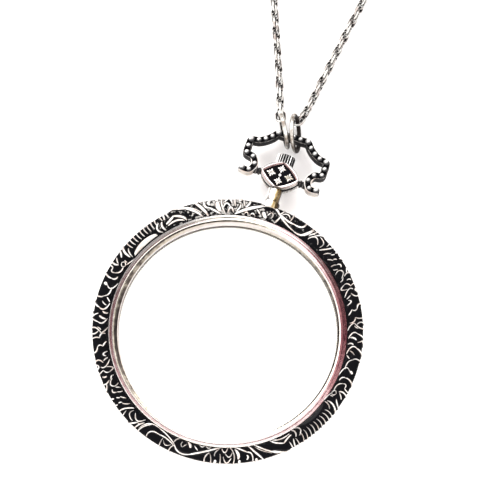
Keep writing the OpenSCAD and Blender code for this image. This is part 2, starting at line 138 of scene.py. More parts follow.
class ShaderSheet:
    """A node tree written as expressions."""

    def __init__(self, tree: bpy.types.NodeTree) -> None:
        """Clears the tree and keeps it."""
        self.tree = tree
        tree.nodes.clear()

    def node(self, kind: str, settings: dict[str, Any] | None = None,
             inputs: dict[Any, Any] | None = None, output: int | str = 0) -> Wire:
        """Adds a node.

        Args:
            kind: the node's type.
            settings: its properties, set first. A colour ramp's are its stops.
            inputs: a number, colour or wire for each socket, by name or place.
            output: the socket that is wanted.

        Returns:
            The wanted output.
        """
        made = self.tree.nodes.new(kind)
        for key, value in (settings or {}).items():
            if key == "stops":
                self.set_stops(made.color_ramp, value)
            else:
                setattr(made, key, value)
        for key, value in (inputs or {}).items():
            if isinstance(value, Wire):
                self.tree.links.new(value.socket, made.inputs[key])
            else:
                made.inputs[key].default_value = value
        return Wire(self, made.outputs[output])

    @staticmethod
    def set_stops(ramp: bpy.types.ColorRamp, stops: Stops) -> None:
        """Gives a colour ramp its stops.

        Args:
            ramp: the ramp, which has two stops as it is made.
            stops: a place and a colour for each, in order.
        """
        first, *middle, last = stops
        for element, stop in zip(ramp.elements, (first, last)):
            element.position, element.color = stop
        for position, colour in middle:
            ramp.elements.new(position).color = colour

    def place(self) -> Wire:
        """Returns the point's place on its piece, in millimetres."""
        coordinates = self.node("ShaderNodeTexCoord", output="Object")
        return self.node("ShaderNodeVectorMath", {"operation": "SCALE"},
                         {0: coordinates, "Scale": 1.0 / MM})

    def noise(self, vector: Wire, size: float, detail: float = 3.0) -> Wire:
        """Returns noise from 0 to 1 whose blotches are about size millimetres across."""
        return self.node("ShaderNodeTexNoise", inputs={"Vector": vector, "Scale": 1.0 / size,
                                                       "Detail": detail})

    def mark(self) -> Wire:
        """Returns the number that the mesh keeps on its points."""
        return self.node("ShaderNodeAttribute", {"attribute_name": "mark"}, output="Fac")

    def mix(self, low: Any, high: Any, factor: Number) -> Wire:
        """Returns a colour that goes from low to high as factor goes from 0 to 1."""
        return self.node("ShaderNodeMix", {"data_type": "RGBA"}, {0: factor, 6: low, 7: high}, 2)

    def bump(self, height: Wire, depth: float) -> Wire:
        """Returns a normal for a surface whose height goes up by depth millimetres."""
        return self.node("ShaderNodeBump", inputs={"Strength": 1.0, "Distance": depth * MM,
                                                   "Height": height}, output="Normal")

    def end(self, kind: str, shader: Wire) -> None:
        """Links a shader to an output node of this kind."""
        end = self.tree.nodes.new(kind)
        self.tree.links.new(shader.socket, end.inputs["Surface"])

    def surface(self, **sockets: Any) -> None:
        """Ends a material in a Principled shader, whose sockets have underscores for spaces."""
        named = {key.replace("_", " "): value for key, value in sockets.items()}
        self.end("ShaderNodeOutputMaterial", self.node("ShaderNodeBsdfPrincipled", inputs=named))


@dataclass(frozen=True)
class Finish:
    """A finish: a name, and the way that it paints a material's sheet."""

    name: str

    def paint(self, sheet: ShaderSheet) -> None:
        """Paints the material. Each kind of finish has its own."""
        raise NotImplementedError

    def material(self) -> bpy.types.Material:
        """Makes this finish's material on first use.

        Returns:
            The material.
        """
        found = bpy.data.materials.get(self.name)
        if found is None:
            found = bpy.data.materials.new(self.name)
            found.use_nodes = True
            self.paint(ShaderSheet(found.node_tree))
        return found


@dataclass(frozen=True)
class AntiqueStrand(Finish):
    """Raised casting: silver where polishing reached, black in its flanks; on some pieces the mark
    also paints light and shade.
    """

    silver: Colour = rgb(0.8, 0.77, 0.74)
    warm: Colour = rgb(0.66, 0.52, 0.44)
    black: Colour = rgb(0.008, 0.008, 0.009)
    reach: tuple[float, float] = (0.5, 0.95)
    warmed: float = 0.6

    def paint(self, sheet: ShaderSheet) -> None:
        """Polishes by the mark that the mesh keeps, with an uneven edge: its height on the relief,
        and on some pieces painted light and shade.

        Args:
            sheet: the material's.
        """
        place = sheet.place()
        uneven = sheet.noise(place, 0.5, 4.0) - 0.5
        polish_and_light = (sheet.mark() + uneven * 0.5).fade(*self.reach)
        warm = sheet.noise(place, 1.7).fade(0.42, 0.66)
        plate = sheet.mix(self.silver, self.warm, warm * self.warmed)
        grain = sheet.noise(place, 0.12)
        sheet.surface(
            Base_Color=sheet.mix(self.black, plate, polish_and_light),
            Metallic=polish_and_light,
            Specular_IOR_Level=0.12,
            Roughness=0.5 - polish_and_light * 0.2 + grain * 0.08,
            Normal=sheet.bump(grain, 0.014))


@dataclass(frozen=True)
class BlackGround(Finish):
    """Blackened casting ground, turned grey where the mesh says so: in random blotches, and as
    painted light on the band's lit side.
    """

    black: Colour = rgb(0.002, 0.002, 0.003)
    worn_and_lit: Colour = rgb(0.6, 0.58, 0.55)
    most: float = 0.7

    def paint(self, sheet: ShaderSheet) -> None:
        """Lays black over grey metal, thinnest in random blotches and where the mark paints light.

        Args:
            sheet: the material's.
        """
        place = sheet.place()
        pits = sheet.noise(place, 0.22, 4.0)
        blotches = sheet.noise(place, 0.7)
        # random blotches, plus the painted light that the mark carries on the band
        wear_and_sheen = (sheet.mark() * 0.5 + blotches * 1.5 - 1.17).fade(0.0, 0.16) * self.most
        sheet.surface(
            Base_Color=sheet.mix(self.black, self.worn_and_lit, wear_and_sheen),
            Metallic=wear_and_sheen,
            Specular_IOR_Level=0.04,
            Roughness=0.55 - wear_and_sheen * 0.25 + pits * 0.12,
            Normal=sheet.bump(pits * 0.7 + blotches * 0.3, 0.06))


@dataclass(frozen=True)
class TintedMetal(Finish):
    """Polished metal tinted in uneven streaks by the mark that the mesh keeps. On the rims and the
    neck the mark is painted reflection, highlight and shade; on the keeper it is painted shade.

    The ramp's middle is the mark 0, its ends are the marks -1 and 1.
    """

    stops: Stops
    patch: float = 1.1
    uneven: float = 0.55

    def paint(self, sheet: ShaderSheet) -> None:
        """Runs the mark along the ramp, with fine hairs on the polish.

        Args:
            sheet: the material's.
        """
        place = sheet.place()
        streaks = sheet.noise(place, self.patch, 4.0) - 0.5
        hairs = sheet.noise(place, 0.14, 2.0)
        tint = sheet.mark() * (0.5 + streaks * self.uneven) + 0.5
        sheet.surface(
            Base_Color=sheet.node("ShaderNodeValToRGB", {"stops": self.stops}, {0: tint}),
            Metallic=1.0,
            Roughness=0.18 + hairs * 0.12,
            Normal=sheet.bump(hairs, 0.008))


@dataclass(frozen=True)
class ClearGlass(Finish):
    """A clear lens: it shows what is under it, and mirrors more towards its edges."""

    def paint(self, sheet: ShaderSheet) -> None:
        """Hides the more, the more it turns away, with the faintest smears on the mirror.

        Args:
            sheet: the material's.
        """
        edge = sheet.node("ShaderNodeLayerWeight", inputs={"Blend": 0.5}, output="Facing")
        smears = sheet.noise(sheet.place(), 6.0)
        sheet.surface(
            Base_Color=rgb(0.96, 0.98, 0.99),
            Metallic=1.0,
            Roughness=0.02 + smears * 0.03,
            Alpha=0.02 + edge ** 5.0 * 0.6)


@dataclass(frozen=True)
class PaleFloor(Finish):
    """A matt white sweep."""

    def paint(self, sheet: ShaderSheet) -> None:
        """Lets the white vary a very little, as card does."""
        card = sheet.mix(rgb(0.95, 0.95, 0.95), rgb(0.93, 0.93, 0.93),
                         sheet.noise(sheet.place(), 14.0))
        sheet.surface(Base_Color=card, Roughness=0.9)


STRAND = AntiqueStrand("antique_strand")
GROUND = BlackGround("black_ground")
CHANNEL = BlackGround("black_channel", most=0.12)
FLANK = AntiqueStrand("antique_flank", silver=rgb(0.66, 0.62, 0.58), reach=(0.35, 0.9))
# The pearls' black is painted shade on their lower right sides.
PEARL = AntiqueStrand("pearl_silver", rgb(0.9, 0.9, 0.88), rgb(0.6, 0.56, 0.55),
                      rgb(0.045, 0.044, 0.046), (0.15, 1.0), 0.5)
FLORET = AntiqueStrand("floret_silver", silver=rgb(0.9, 0.88, 0.85), warm=rgb(0.36, 0.3, 0.18),
                       reach=(0.35, 0.85), warmed=0.7)
FLUTED = AntiqueStrand("fluted_silver", silver=rgb(0.9, 0.89, 0.88), reach=(0.5, 0.8), warmed=0.1)
RING_WIRE = AntiqueStrand("jump_ring_wire", rgb(0.65, 0.64, 0.6), rgb(0.14, 0.09, 0.06),
                          rgb(0.012, 0.008, 0.007), (0.1, 1.0), 0.8)
CHAIN_WIRE = AntiqueStrand("chain_wire", rgb(0.6, 0.59, 0.56), rgb(0.18, 0.11, 0.09),
                           rgb(0.008, 0.007, 0.008), (0.45, 0.95))
# The rim's ramp: dark painted shade towards mark -1, cream and silver highlights in the middle, and
# a painted rose reflection towards mark 1.
RIM = TintedMetal("rim_painted_light", (
    (0.0, rgb(0.02, 0.017, 0.016)), (0.15, rgb(0.1, 0.085, 0.074)),
    (0.3, rgb(0.6, 0.56, 0.46)), (0.4, rgb(0.74, 0.7, 0.66)), (0.5, rgb(0.9, 0.88, 0.86)),
    (0.65, rgb(0.55, 0.4, 0.4)), (0.8, rgb(0.3, 0.14, 0.15)), (1.0, rgb(0.16, 0.048, 0.06))))
# The neck is silver; the gold and brown down its right side are a painted warm reflection and
# painted shade.
NECK = TintedMetal("neck_silver", (
    (0.0, rgb(0.02, 0.01, 0.004)), (0.2, rgb(0.22, 0.15, 0.065)), (0.32, rgb(0.5, 0.42, 0.27)),
    (0.5, rgb(0.88, 0.87, 0.85))), 0.8, 0.3)
KEEPER = TintedMetal("keeper_gold", ((0.0, rgb(0.05, 0.048, 0.04)), (0.5, rgb(0.9, 0.88, 0.82))))
GLASS = ClearGlass("clear_glass")
FLOOR = PaleFloor("pale_floor")


def unit(vector: Array) -> Array:
    """Returns a vector of length 1, or an array of them."""
    return vector / np.linalg.norm(vector, axis=-1, keepdims=True)


def whole_turn(steps: int) -> Array:
    """Returns angles in radians, in even steps round a whole turn."""
    return np.linspace(0, 2 * np.pi, steps, endpoint=False)


def nearness(bearing: Array, at: float, half: float, top: float = 1.0) -> Array:
    """Returns how near bearings in degrees are to one: top there, down by 1 at half away."""
    off = np.abs((bearing - at + 180.0) % 360.0 - 180.0)
    return np.clip(top - off / half, 0, 1)


def polar(around: Array, radius: Array, height: Array) -> Array:
    """Returns places given by angle in radians, radius and height."""
    return np.stack([radius * np.cos(around), radius * np.sin(around), height + 0 * around], -1)


def turned(profile: Array, turns: int, axis: int = 2) -> Array:
    """Turns a profile about an axis.

    Args:
        profile: rows of a radius and a place along the axis. They may differ with each turn.
        turns: steps round the axis.
        axis: 0, 1 or 2 for X, Y or Z.

    Returns:
        Places, turns by rows.
    """
    points = polar(whole_turn(turns)[:, None], profile[..., 0], profile[..., 1])
    return np.roll(points, axis + 1, -1)


def arc(centre: Sequence[float], radii: Sequence[float], first: float, last: float,
        steps: int) -> Array:
    """Returns points on a part of an ellipse, from one angle to another in degrees."""
    angles = np.radians(np.linspace(first, last, steps))
    return np.column_stack([np.cos(angles), np.sin(angles)]) * radii + centre


def smooth_curve(points: Array, steps: int) -> Array:
    """Runs a smooth curve through points.

    Args:
        points: a row for each.
        steps: how many steps there are from each to the next.

    Returns:
        The curve's points.
    """
    line = np.vstack([points[:1], points, points[-1:]])
    t = (np.arange(steps) / steps)[:, None]
    parts = [0.5 * (2 * b + (c - a) * t + (2 * a - 5 * b + 4 * c - d) * t ** 2
                    + (3 * b - a - 3 * c + d) * t ** 3)
             for a, b, c, d in zip(line, line[1:], line[2:], line[3:])]
    return np.vstack([*parts, points[-1:]])


def smooth_step(t: Array) -> Array:
    """Returns a smooth step from 0 to 1 as t does the same."""
    t = np.clip(t, 0, 1)
    return t * t * (3 - 2 * t)


def gone_along(path: Array) -> Array:
    """Returns how far along a path each of its points is."""
    return np.concatenate([[0], np.cumsum(np.linalg.norm(np.diff(path, axis=0), axis=1))])


def placed(name: str, data: bpy.types.ID) -> bpy.types.Object:
    """Puts an object into the scene.

    Args:
        name: its name.
        data: its mesh, light or camera.

    Returns:
        The object.
    """
    made = bpy.data.objects.new(name, data)
    bpy.context.scene.collection.objects.link(made)
    return made


class Shape:
    """A mesh in the making, in millimetres, with a finish on each face and a mark on each point."""

    def __init__(self) -> None:
        """Starts empty."""
        self.points: list[Array] = []
        self.marks: list[Array] = []
        self.faces: list[tuple[int, ...]] = []
        self.paints: list[int] = []
        self.count = 0

    def add(self, points: Array, faces: Iterable[Sequence[int]], paints: Sequence[int] = (),
            mark: float | Array = 0.0) -> None:
        """Adds points and faces.

        Args:
            points: one row for each point.
            faces: places in points.
            paints: each face's place among the piece's finishes, or nothing for the first.
            mark: a number for all the points, or one for each.
        """
        added = [tuple(self.count + i for i in face) for face in faces]
        self.points.append(points)
        self.marks.append(np.broadcast_to(mark, len(points)))
        self.faces += added
        self.paints += paints or [0] * len(added)
        self.count += len(points)

    def grid(self, points: Array, round_rows: bool = False, round_columns: bool = False,
             paint: int | Sequence[int] = 0, mark: float | Array = 0.0,
             capped: bool = False) -> None:
        """Adds a sheet of four-sided faces.

        Args:
            points: rows by columns by 3.
            round_rows: the last row meets the first.
            round_columns: the last column meets the first.
            paint: one finish, or one for each step from a column to the next.
            mark: a number, or an array that fits rows by columns.
            capped: the first and last rows are closed by a face each.
        """
        rows, columns = points.shape[:2]
        faces, paints = [], []
        for i in range(rows if round_rows else rows - 1):
            low, high = i * columns, (i + 1) % rows * columns
            for j in range(columns if round_columns else columns - 1):
                k = (j + 1) % columns
                faces.append((low + j, low + k, high + k, high + j))
                paints.append(paint if isinstance(paint, int) else paint[j])
        if capped:
            faces += [tuple(range(columns)), tuple(range((rows - 1) * columns, rows * columns))]
            paints += [paints[0], paints[-1]]
        marks = np.broadcast_to(mark, (rows, columns)).reshape(-1)
        self.add(points.reshape(-1, 3), faces, paints, marks)

    def ball(self, centre: Sequence[float], radii: Sequence[float], turns: int = 16,
             rings: int = 9) -> None:
        """Adds a ball, or an egg, along the axes.

        Args:
            centre: its middle.
            radii: its radius along each axis.
            turns: steps round it.
            rings: levels from pole to pole.
        """
        levels = arc((0, 0), (1, 1), -90, 90, rings)[1:-1]
        body = turned(levels, turns).swapaxes(0, 1).reshape(-1, 3)
        pole = len(body)
        last = pole - turns
        faces = []
        for j in range(turns):
            k = (j + 1) % turns
            faces += [(k, j, pole), (last + j, last + k, pole + 1)]
            faces += [(i + j, i + k, i + turns + k, i + turns + j) for i in range(0, last, turns)]
        self.add(np.vstack([body, (0, 0, -1), (0, 0, 1)]) * radii + centre, faces, mark=1.0)

    def wire(self, path: Array, outward: Array, across: Array, thick: float,
             sides: int, shade: float = 0.0) -> None:
        """Adds a closed round wire.

        Args:
            path: its middle line.
            outward: a unit vector away from its centre at each point.
            across: a unit vector across its plane.
            thick: its diameter.
            sides: how many sides it has.
            shade: how much a painted highlight brightens it on the side that across points to.
        """
        turn = whole_turn(sides)[:, None]
        out, over = np.cos(turn), np.sin(turn)
        points = path[:, None] + thick / 2 * (out * outward[:, None] + over * across)
        # brighter outside and darker inside the loop: tarnish and painted shade inside it, and a
        # painted highlight on one side by shade
        self.grid(points, True, True, mark=(0.55 + 0.6 * out + shade * over)[:, 0])

    def link(self, centre: Array, axis: Array, breadth: Array, size: Triple,
             steps: int, sides: int) -> None:
        """Adds an oval link of a round wire.

        Args:
            centre: its middle.
            axis: the direction of its length.
            breadth: the direction of its width.
            size: its outer length and width, and its wire's diameter.
            steps: points round it.
            sides: sides of the wire.
        """
        length, width, wire = size
        bend = (width - wire) / 2
        run = (length - wire) / 2 - bend
        angles = whole_turn(steps)[:, None] + np.pi / steps
        c, s = np.cos(angles), np.sin(angles)
        path = centre + (np.sign(c) * run + bend * c) * axis + bend * s * breadth
        self.wire(path, c * axis + s * breadth, np.cross(axis, breadth), wire, sides)

    def piece(self, name: str, finishes: Sequence[Finish], slot: Slot,
              replaces: Sequence[str] = (), crease: float = 40.0,
              body: Body = Body.PENDANT) -> None:
        """Makes the Blender object, in metres, in the CAD frame.

        Args:
            name: its name.
            finishes: what its faces' paints stand for.
            slot: the record's slot for its finish; it is not used.
            replaces: the CAD nodes that it stands for.
            crease: the angle, in degrees, past which an edge is sharp.
            body: the CAD body that it rides on.
        """
        mesh = bpy.data.meshes.new(name)
        mesh.from_pydata((np.vstack(self.points) * MM).tolist(), [], self.faces)
        for finish in finishes:
            mesh.materials.append(finish.material())
        mesh.polygons.foreach_set("material_index", self.paints)
        marks = mesh.attributes.new("mark", "FLOAT", "POINT")
        marks.data.foreach_set("value", np.concatenate(self.marks).astype(np.float32))
        mesh.update()
        shell = bmesh.new()
        shell.from_mesh(mesh)
        bmesh.ops.recalc_face_normals(shell, faces=shell.faces)
        shell.to_mesh(mesh)
        shell.free()
        mesh.shade_smooth()
        mesh.set_sharp_from_angle(angle=math.radians(crease))
        made = placed(name, mesh)
        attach(made, body.value)
        if replaces:
            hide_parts(*replaces)
        LOG.info("%s: %d points, %d faces", name, len(mesh.vertices), len(mesh.polygons))


# The ornament as charted from the half of the band that is in the light. Each row is a strand
# through three places, each an angle in degrees round the ring and a share in hundredths of the
# band's width from its inner edge, and then its width in hundredths of a millimetre.
STRANDS = (
    (49.2, 85, 51.6, 22, 57, 10, 40), (57, 10, 62, 27, 66, 55, 38), (66, 55, 69, 86, 73.5, 80, 50),
    (73.5, 80, 79.5, 43, 86.5, 4, 60), (53.6, 95, 54.3, 55, 58, 44, 42),
    (58, 44, 62, 44, 66.5, 66, 42), (60.3, 110, 60.1, 80, 60.2, 48, 30),
    (65, 110, 64.8, 85, 66, 60, 35), (60.8, 60, 62.6, 80, 64.8, 62, 26),
    (65.2, 45, 65.8, 22, 67, 2, 36), (69.4, 52, 68.6, 36, 69, 18, 30),
    (69.6, 52, 70.5, 36, 71, 26, 28), (71.3, 10, 72.6, 24, 73, 40, 80),
    (76.6, 44, 75.5, 33, 74.6, 20, 36), (76.8, 5, 78, 17, 79.3, 5, 26),
    (80, 6, 81, 18, 82.2, 6, 26), (80.3, 110, 80.2, 75, 81.8, 45, 42),
    (82.7, 110, 82.8, 80, 82.1, 50, 32), (84.2, 110, 84.5, 95, 84.9, 84, 90),
    (84.3, 62, 84.4, 40, 86, 15, 34), (86.4, 110, 86.8, 80, 86.5, 45, 36),
    (88, 62, 89.3, 95, 91.4, 72, 40), (88.8, 40, 90.5, 64, 92, 38, 36),
    (87.2, 10, 88.6, 37, 90, 6, 40), (91.7, 110, 92.8, 60, 91.1, 2, 38),
    (94.6, 110, 94.8, 95, 95, 84, 80), (94.3, 78, 94.6, 50, 93.4, 16, 90),
    (97.9, 86, 98.7, 73, 98.2, 60, 55), (100.2, 110, 100.5, 60, 98.5, 42, 44),
    (98.5, 42, 96.5, 25, 93.2, 2, 40), (101.8, 110, 102, 97, 102, 88, 80),
    (105.5, 110, 102.3, 55, 99.6, 2, 60), (102.6, 20, 105, 50, 109, 82, 26),
    (112, 100, 106, 45, 102.4, 3, 48), (117, 108, 113, 95, 109.4, 74, 75),
    (110.2, 6, 112, 32, 115.5, 55, 50), (115.5, 55, 117.5, 40, 120, 30, 50),
    (111.3, 8, 115, 24, 119.5, 18, 36), (117.9, 110, 117.9, 85, 117.6, 62, 36),
    (119, 110, 119.3, 85, 119.9, 58, 44), (121, 110, 121.1, 85, 120.8, 60, 30),
    (121.3, 55, 122.2, 30, 121.4, 4, 46), (123, 60, 124.9, 30, 123.2, 3, 42),
    (140.3, 110, 142.9, 70, 143.2, 20, 55), (140.6, 62, 141.9, 40, 142.3, 10, 34),
    (142.9, 110, 144.4, 80, 145.9, 60, 46), (149, 110, 150, 75, 149.3, 50, 46),
    (147, 85, 148.2, 70, 149, 55, 34), (147.9, 41, 146.7, 27, 147.9, 13, 27),
    (147.9, 41, 149.1, 27, 147.9, 13, 27), (146, 34, 146.2, 25, 146, 15, 30),
    (147.4, 13, 145, 5, 142.4, 0, 24), (148.8, 19, 151.8, 21, 153.4, 45, 34),
    (153.4, 45, 153.5, 66, 151.8, 70, 32), (151, 110, 151.3, 85, 151.8, 70, 36),
    (153.9, 110, 156, 78, 156.3, 45, 44), (156.3, 45, 156, 28, 154.4, 18, 40),
    (159, 76, 159.5, 69, 160, 58, 80), (159.8, 56, 160.8, 25, 156.8, 2, 36),
    (160.3, 25, 163.5, 29, 165.2, 55, 34), (165.2, 55, 165.9, 75, 165.3, 110, 36),
    (167, 110, 169.4, 90, 170.6, 65, 48), (170.6, 65, 171, 32, 167.6, 8, 44),
    (167.5, 55, 168.6, 40, 169, 24, 32), (165.3, 32, 166.3, 20, 167, 10, 36),
    (172.1, 40, 172.7, 25, 172.3, 8, 48), (173.3, 66, 175.3, 98, 177.3, 60, 42),
    (177.3, 60, 177.6, 33, 175.1, 8, 40), (172, 110, 173, 100, 174.6, 88, 30),
    (174.3, 56, 175.2, 40, 175.5, 16, 55), (180, 110, 179.9, 75, 182.2, 42, 38),
    (182.2, 42, 181.2, 20, 179.1, 2, 34), (181.5, 110, 182.5, 82, 181.2, 56, 36),
    (179.6, 66, 180.1, 52, 180.9, 42, 30), (184.5, 96, 184.2, 72, 184.7, 52, 34),
    (184.7, 52, 182.8, 40, 182.5, 15, 38), (190, 110, 190.6, 85, 188.7, 70, 42),
    (188.7, 70, 187.9, 55, 188.4, 40, 38), (188.6, 38, 187.2, 25, 186.2, 12, 38),
    (191, 15, 192.2, 42, 193.2, 28, 42), (195.3, 110, 194.3, 80, 196, 55, 36),
    (195.3, 50, 194.5, 35, 194, 20, 34), (195.5, 105, 197.2, 86, 198.5, 110, 30),
    (197.6, 76, 198, 48, 195.1, 12, 36), (198.2, 42, 199.2, 8, 200.8, 35, 34),
    (200.8, 35, 200.6, 55, 199.2, 68, 34), (200.3, 102, 199.9, 85, 199.3, 68, 30),
    (201.8, 86, 202.4, 74, 202.3, 60, 40), (202.8, 18, 203, 34, 204.4, 45, 30),
    (203.9, 110, 205.3, 85, 204.3, 55, 36), (205.3, 80, 207.2, 90, 208.3, 110, 34),
    (204, 34, 206.5, 60, 208.1, 34, 34), (207.8, 45, 207.7, 30, 207, 12, 28),
    (208.7, 64, 210, 68, 210.7, 48, 36), (210.7, 45, 211.3, 30, 211.4, 14, 30),
    (208.5, 40, 209, 26, 209.6, 14, 30), (211.4, 110, 212, 96, 212.6, 84, 40),
    (212.6, 68, 213.2, 60, 213.6, 48, 34), (213.2, 45, 214.3, 34, 215.2, 20, 30),
    (214, 95, 215, 96, 215.6, 84, 36), (215.3, 76, 215.4, 65, 216, 55, 34),
    (216.2, 58, 217.5, 42, 218.3, 20, 30), (218, 110, 218.8, 65, 221.2, 20, 42),
    (220.5, 105, 220.2, 85, 219.9, 66, 28), (223.3, 110, 225.5, 90, 227, 65, 40),
    (223.5, 34, 226.5, 60, 228.8, 20, 36), (222, 30, 222, 65, 225, 80, 28),
    (227.3, 110, 228.2, 70, 229.5, 40, 38), (227, 65, 228.4, 62, 229.5, 40, 24),
    (229.3, 110, 230.3, 60, 232.4, 20, 36))


@dataclass
class RingFrame:
    """The cast ring: a domed, ornamented band, a sloping rim and a ledge round the lens.

    Heights go from its centre, which is level with its widest line. Chart angles are those of
    STRANDS, bearings go round from +X, and both are in degrees.
    """

    centre: Array
    mid: float = 3.8
    band_r: float = 24.6
    band_w: float = 3.15
    band_crest: float = 1.2
    band_fall: float = 0.4
    rim_r: float = 23.6
    rim_z: float = -1.4
    lip_r: float = 22.6
    ledge_z: float = -1.5
    seat_z: float = -1.95
    bore_r: float = 23.35
    back_edge: float = 0.25
    back_r: float = 25.35
    bead_r: float = 0.13
    turns: int = 360
    band_steps: int = 33
    chart_turn: float = 18.5
    # A ridge of the ornament: its height, how deep it is sunk, by how many degrees its section
    # goes past level and how high it ends there, how much narrower and lower its tips are, and
    # how far out from it and up from the band the rows of its dark skirt lie. The dark skirt is
    # patina in the crease at the ridge's foot and painted shadow beside the strand.
    relief: float = 0.26
    sunk: float = 0.06
    ridge_past: float = 8.0
    ridge_foot: float = 0.02
    tip_narrower: float = 0.5
    tip_lower: float = 0.35
    skirt: Rows = ((0.2, -0.04), (0.03, 0.012))
    steps: int = 12
    section: int = 7
    comb_bars: int = 9
    comb_ends: Rows = ((122.9, 1.97), (123.9, 1.9))
    comb_bulge: float = 0.6
    comb_share: float = 43
    comb_wide: float = 30
    dome_at: float = 133.5
    dome_half: float = 7.8
    dome_share: float = 0.31
    dome_lift: float = 0.22
    dome_sunk: float = 0.03
    dome_under: float = 0.08
    # Painted light on the side of the band towards the light: where it is centred, in chart angles,
    # how far it reaches, and how much broader and brighter it makes the strands there.
    lit_at: float = 90.0
    lit_half: float = 75.0
    lit_spread: float = 0.3
    lit_more: float = 0.12
    far_broad: float = 0.85
    ticks_at: float = -24.0
    ticks_half: float = 20.0
    # Tints at the bearings: down the slope by shares, on the bead, and over the ledge by
    # distances out from the lip and down from the rim. They are painted light that changes round
    # the ring: a rose reflection, highlights and shade.
    bearings: tuple[float, ...] = (18.5, 108.5, 198.5, 288.5, 335.0)
    slope: Rows = (
        (0.0, 0.9, 0.0, -0.1, -0.8, 0.6), (0.1, 0.9, 0.0, 0.05, -0.4, 0.4),
        (0.25, 0.95, 0.0, 0.4, 0.12, 0.3), (0.42, 1.0, -0.6, 0.6, 0.08, 0.3),
        (0.5, 1.0, -0.9, 0.68, 0.08, 0.3), (0.58, 1.0, -0.7, 0.66, 0.08, 0.3),
        (0.66, 0.95, 0.15, 0.6, 0.08, 0.35), (0.8, 0.9, 0.15, 0.45, 0.15, 0.45),
        (0.95, 1.0, 0.1, 0.2, 0.35, 0.5))
    bead: tuple[float, ...] = (0.9, -0.9, -0.5, 0.1, 0.2)
    ledge: Rows = (
        (0.78, 0.0, 0.9, -0.75, -0.75, 0.0, 0.1), (0.66, 0.0, 0.6, -0.3, -0.9, 0.0, 0.0),
        (0.6, -0.02, 0.1, -0.15, -0.95, 0.0, 0.0), (0.52, -0.05, 0.0, -0.15, -0.95, 0.0, 0.0),
        (0.42, -0.07, 0.0, -0.1, -1.0, 0.0, 0.0), (0.36, -0.09, -0.6, -0.1, -1.0, 0.0, -0.1),
        (0.28, -0.1, -0.9, 0.0, -1.0, 0.0, -0.6), (0.14, -0.13, -0.9, 0.0, -0.8, 0.0, -0.7),
        (0.1, -0.14, -0.9, -0.1, -0.1, 0.0, -0.8), (0.04, -0.15, -0.9, -0.2, 0.2, 0.0, -0.8))

    @property
    def flank(self) -> float:
        """How far the outer side curves in behind."""
        return self.band_r + self.band_w - self.back_r

    def band_point(self, chart: Array, share: Array) -> tuple[Array, Array]:
        """Finds places on the band.

        Args:
            chart: chart angles.
            share: shares of the band's width. Past 1 they go on over its outer edge.

        Returns:
            The places, and the surface's normals there.
        """
        around = np.radians(chart + self.chart_turn)
        over = np.arccos(np.clip(2 * share - 1, -1, 1))
        down = 1.3 * np.clip(share - 1, 0, None)
        c, s = np.cos(over), np.sin(over)
        radius = self.band_r + self.band_w / 2 * (1 + c) - self.flank * (1 - np.cos(down))
        height = self.band_crest * s - self.band_fall * (1 - c) / 2 - self.mid * np.sin(down)
        outward = np.where(down > 0, self.mid * np.cos(down),
                           self.band_crest * c - self.band_fall * s / 2)
        upward = np.where(down > 0, -self.flank * np.sin(down), self.band_w / 2 * s)
        return polar(around, radius, height), unit(polar(around, outward, upward))

    def wear_and_sheen(self, chart: Array) -> Array:
        """Returns the painted light at chart angles, most on the side towards the light: it greys
        the ground and brightens and broadens the strands there.
        """
        return nearness(chart, self.lit_at, self.lit_half)

    def rim_rows(self) -> Array:
        """Lists the rim's slope and bead, and the ledge.

        Returns:
            Rows of radius, height, and the tint at each bearing.
        """
        b = self.bead_r
        top = np.array([self.band_r - 0.14, -self.band_fall - 0.06])
        foot = np.array([self.rim_r + 0.9 * b, self.rim_z + 1.1 * b])
        rows = [(*(top + (foot - top) * share), *tints) for share, *tints in self.slope]
        rows += [(*point, *self.bead)
                 for point in arc((self.rim_r - 0.06, self.rim_z), (b, b), 50, 170, 6)]
        rows += [(self.lip_r + out, self.rim_z + down, *tints) for out, down, *tints in self.ledge]
        rows += [(self.lip_r, z, *self.ledge[-1][2:]) for z in (self.ledge_z - 0.1, self.seat_z)]
        return np.array(rows)

    def body(self) -> None:
        """Turns the ring's whole section: band, rim, ledge, bore and back."""
        shares = (1 + np.cos(np.linspace(0, np.pi, self.band_steps))) / 2
        band, _ = self.band_point(90.0 - self.chart_turn, shares)
        groove = [(self.band_r - 0.02, -self.band_fall - 0.12),
                  (self.band_r - 0.1, -self.band_fall - 0.13)]
        rim = self.rim_rows()
        seat = [(self.bore_r, self.seat_z), (self.bore_r, -self.mid + self.back_edge),
                (self.bore_r + self.back_edge, -self.mid), (self.back_r, -self.mid)]
        back = arc((self.back_r, 0), (self.flank, self.mid), -80, -4, 16)
        profile = np.vstack([band[:, 1:], groove, rim[:, :2], seat, back])
        brightening = [0.5, 0.5, 1.2, 1.2] + [0.9] * len(back)  # in the bore, on the foot, up the side
        front = len(band) + len(groove)
        paints = [0] * front + [1] * len(rim) + [2] * len(brightening)
        bearing = np.degrees(whole_turn(self.turns))
        # dark ticks painted on the lip in one sector: painted shade of the keeper's ribs seen there
        ticks = np.minimum(nearness(bearing, self.ticks_at, self.ticks_half, 1.4), 0.9)
        ticks[::2] = 0
        # the rim's tints by bearing are painted light: a rose reflection, highlights and shade
        tints = [np.interp(bearing, self.bearings, tint, period=360)
                 - ticks * (radius < self.lip_r + 0.25) for radius, _, *tint in rim]
        # painted light greys the band's ground on the side towards the light
        worn_and_lit = self.wear_and_sheen(bearing - self.chart_turn)
        marks = np.vstack([np.tile(worn_and_lit, (front, 1)), tints,
                           np.tile(brightening, (self.turns, 1)).T]).T
        shape = Shape()
        shape.grid(turned(profile, self.turns) + self.centre, True, True, paints, marks)
        shape.piece("ring_body", (GROUND, RIM, FLANK), Slot.ANTIQUE, ["frame"], 35)

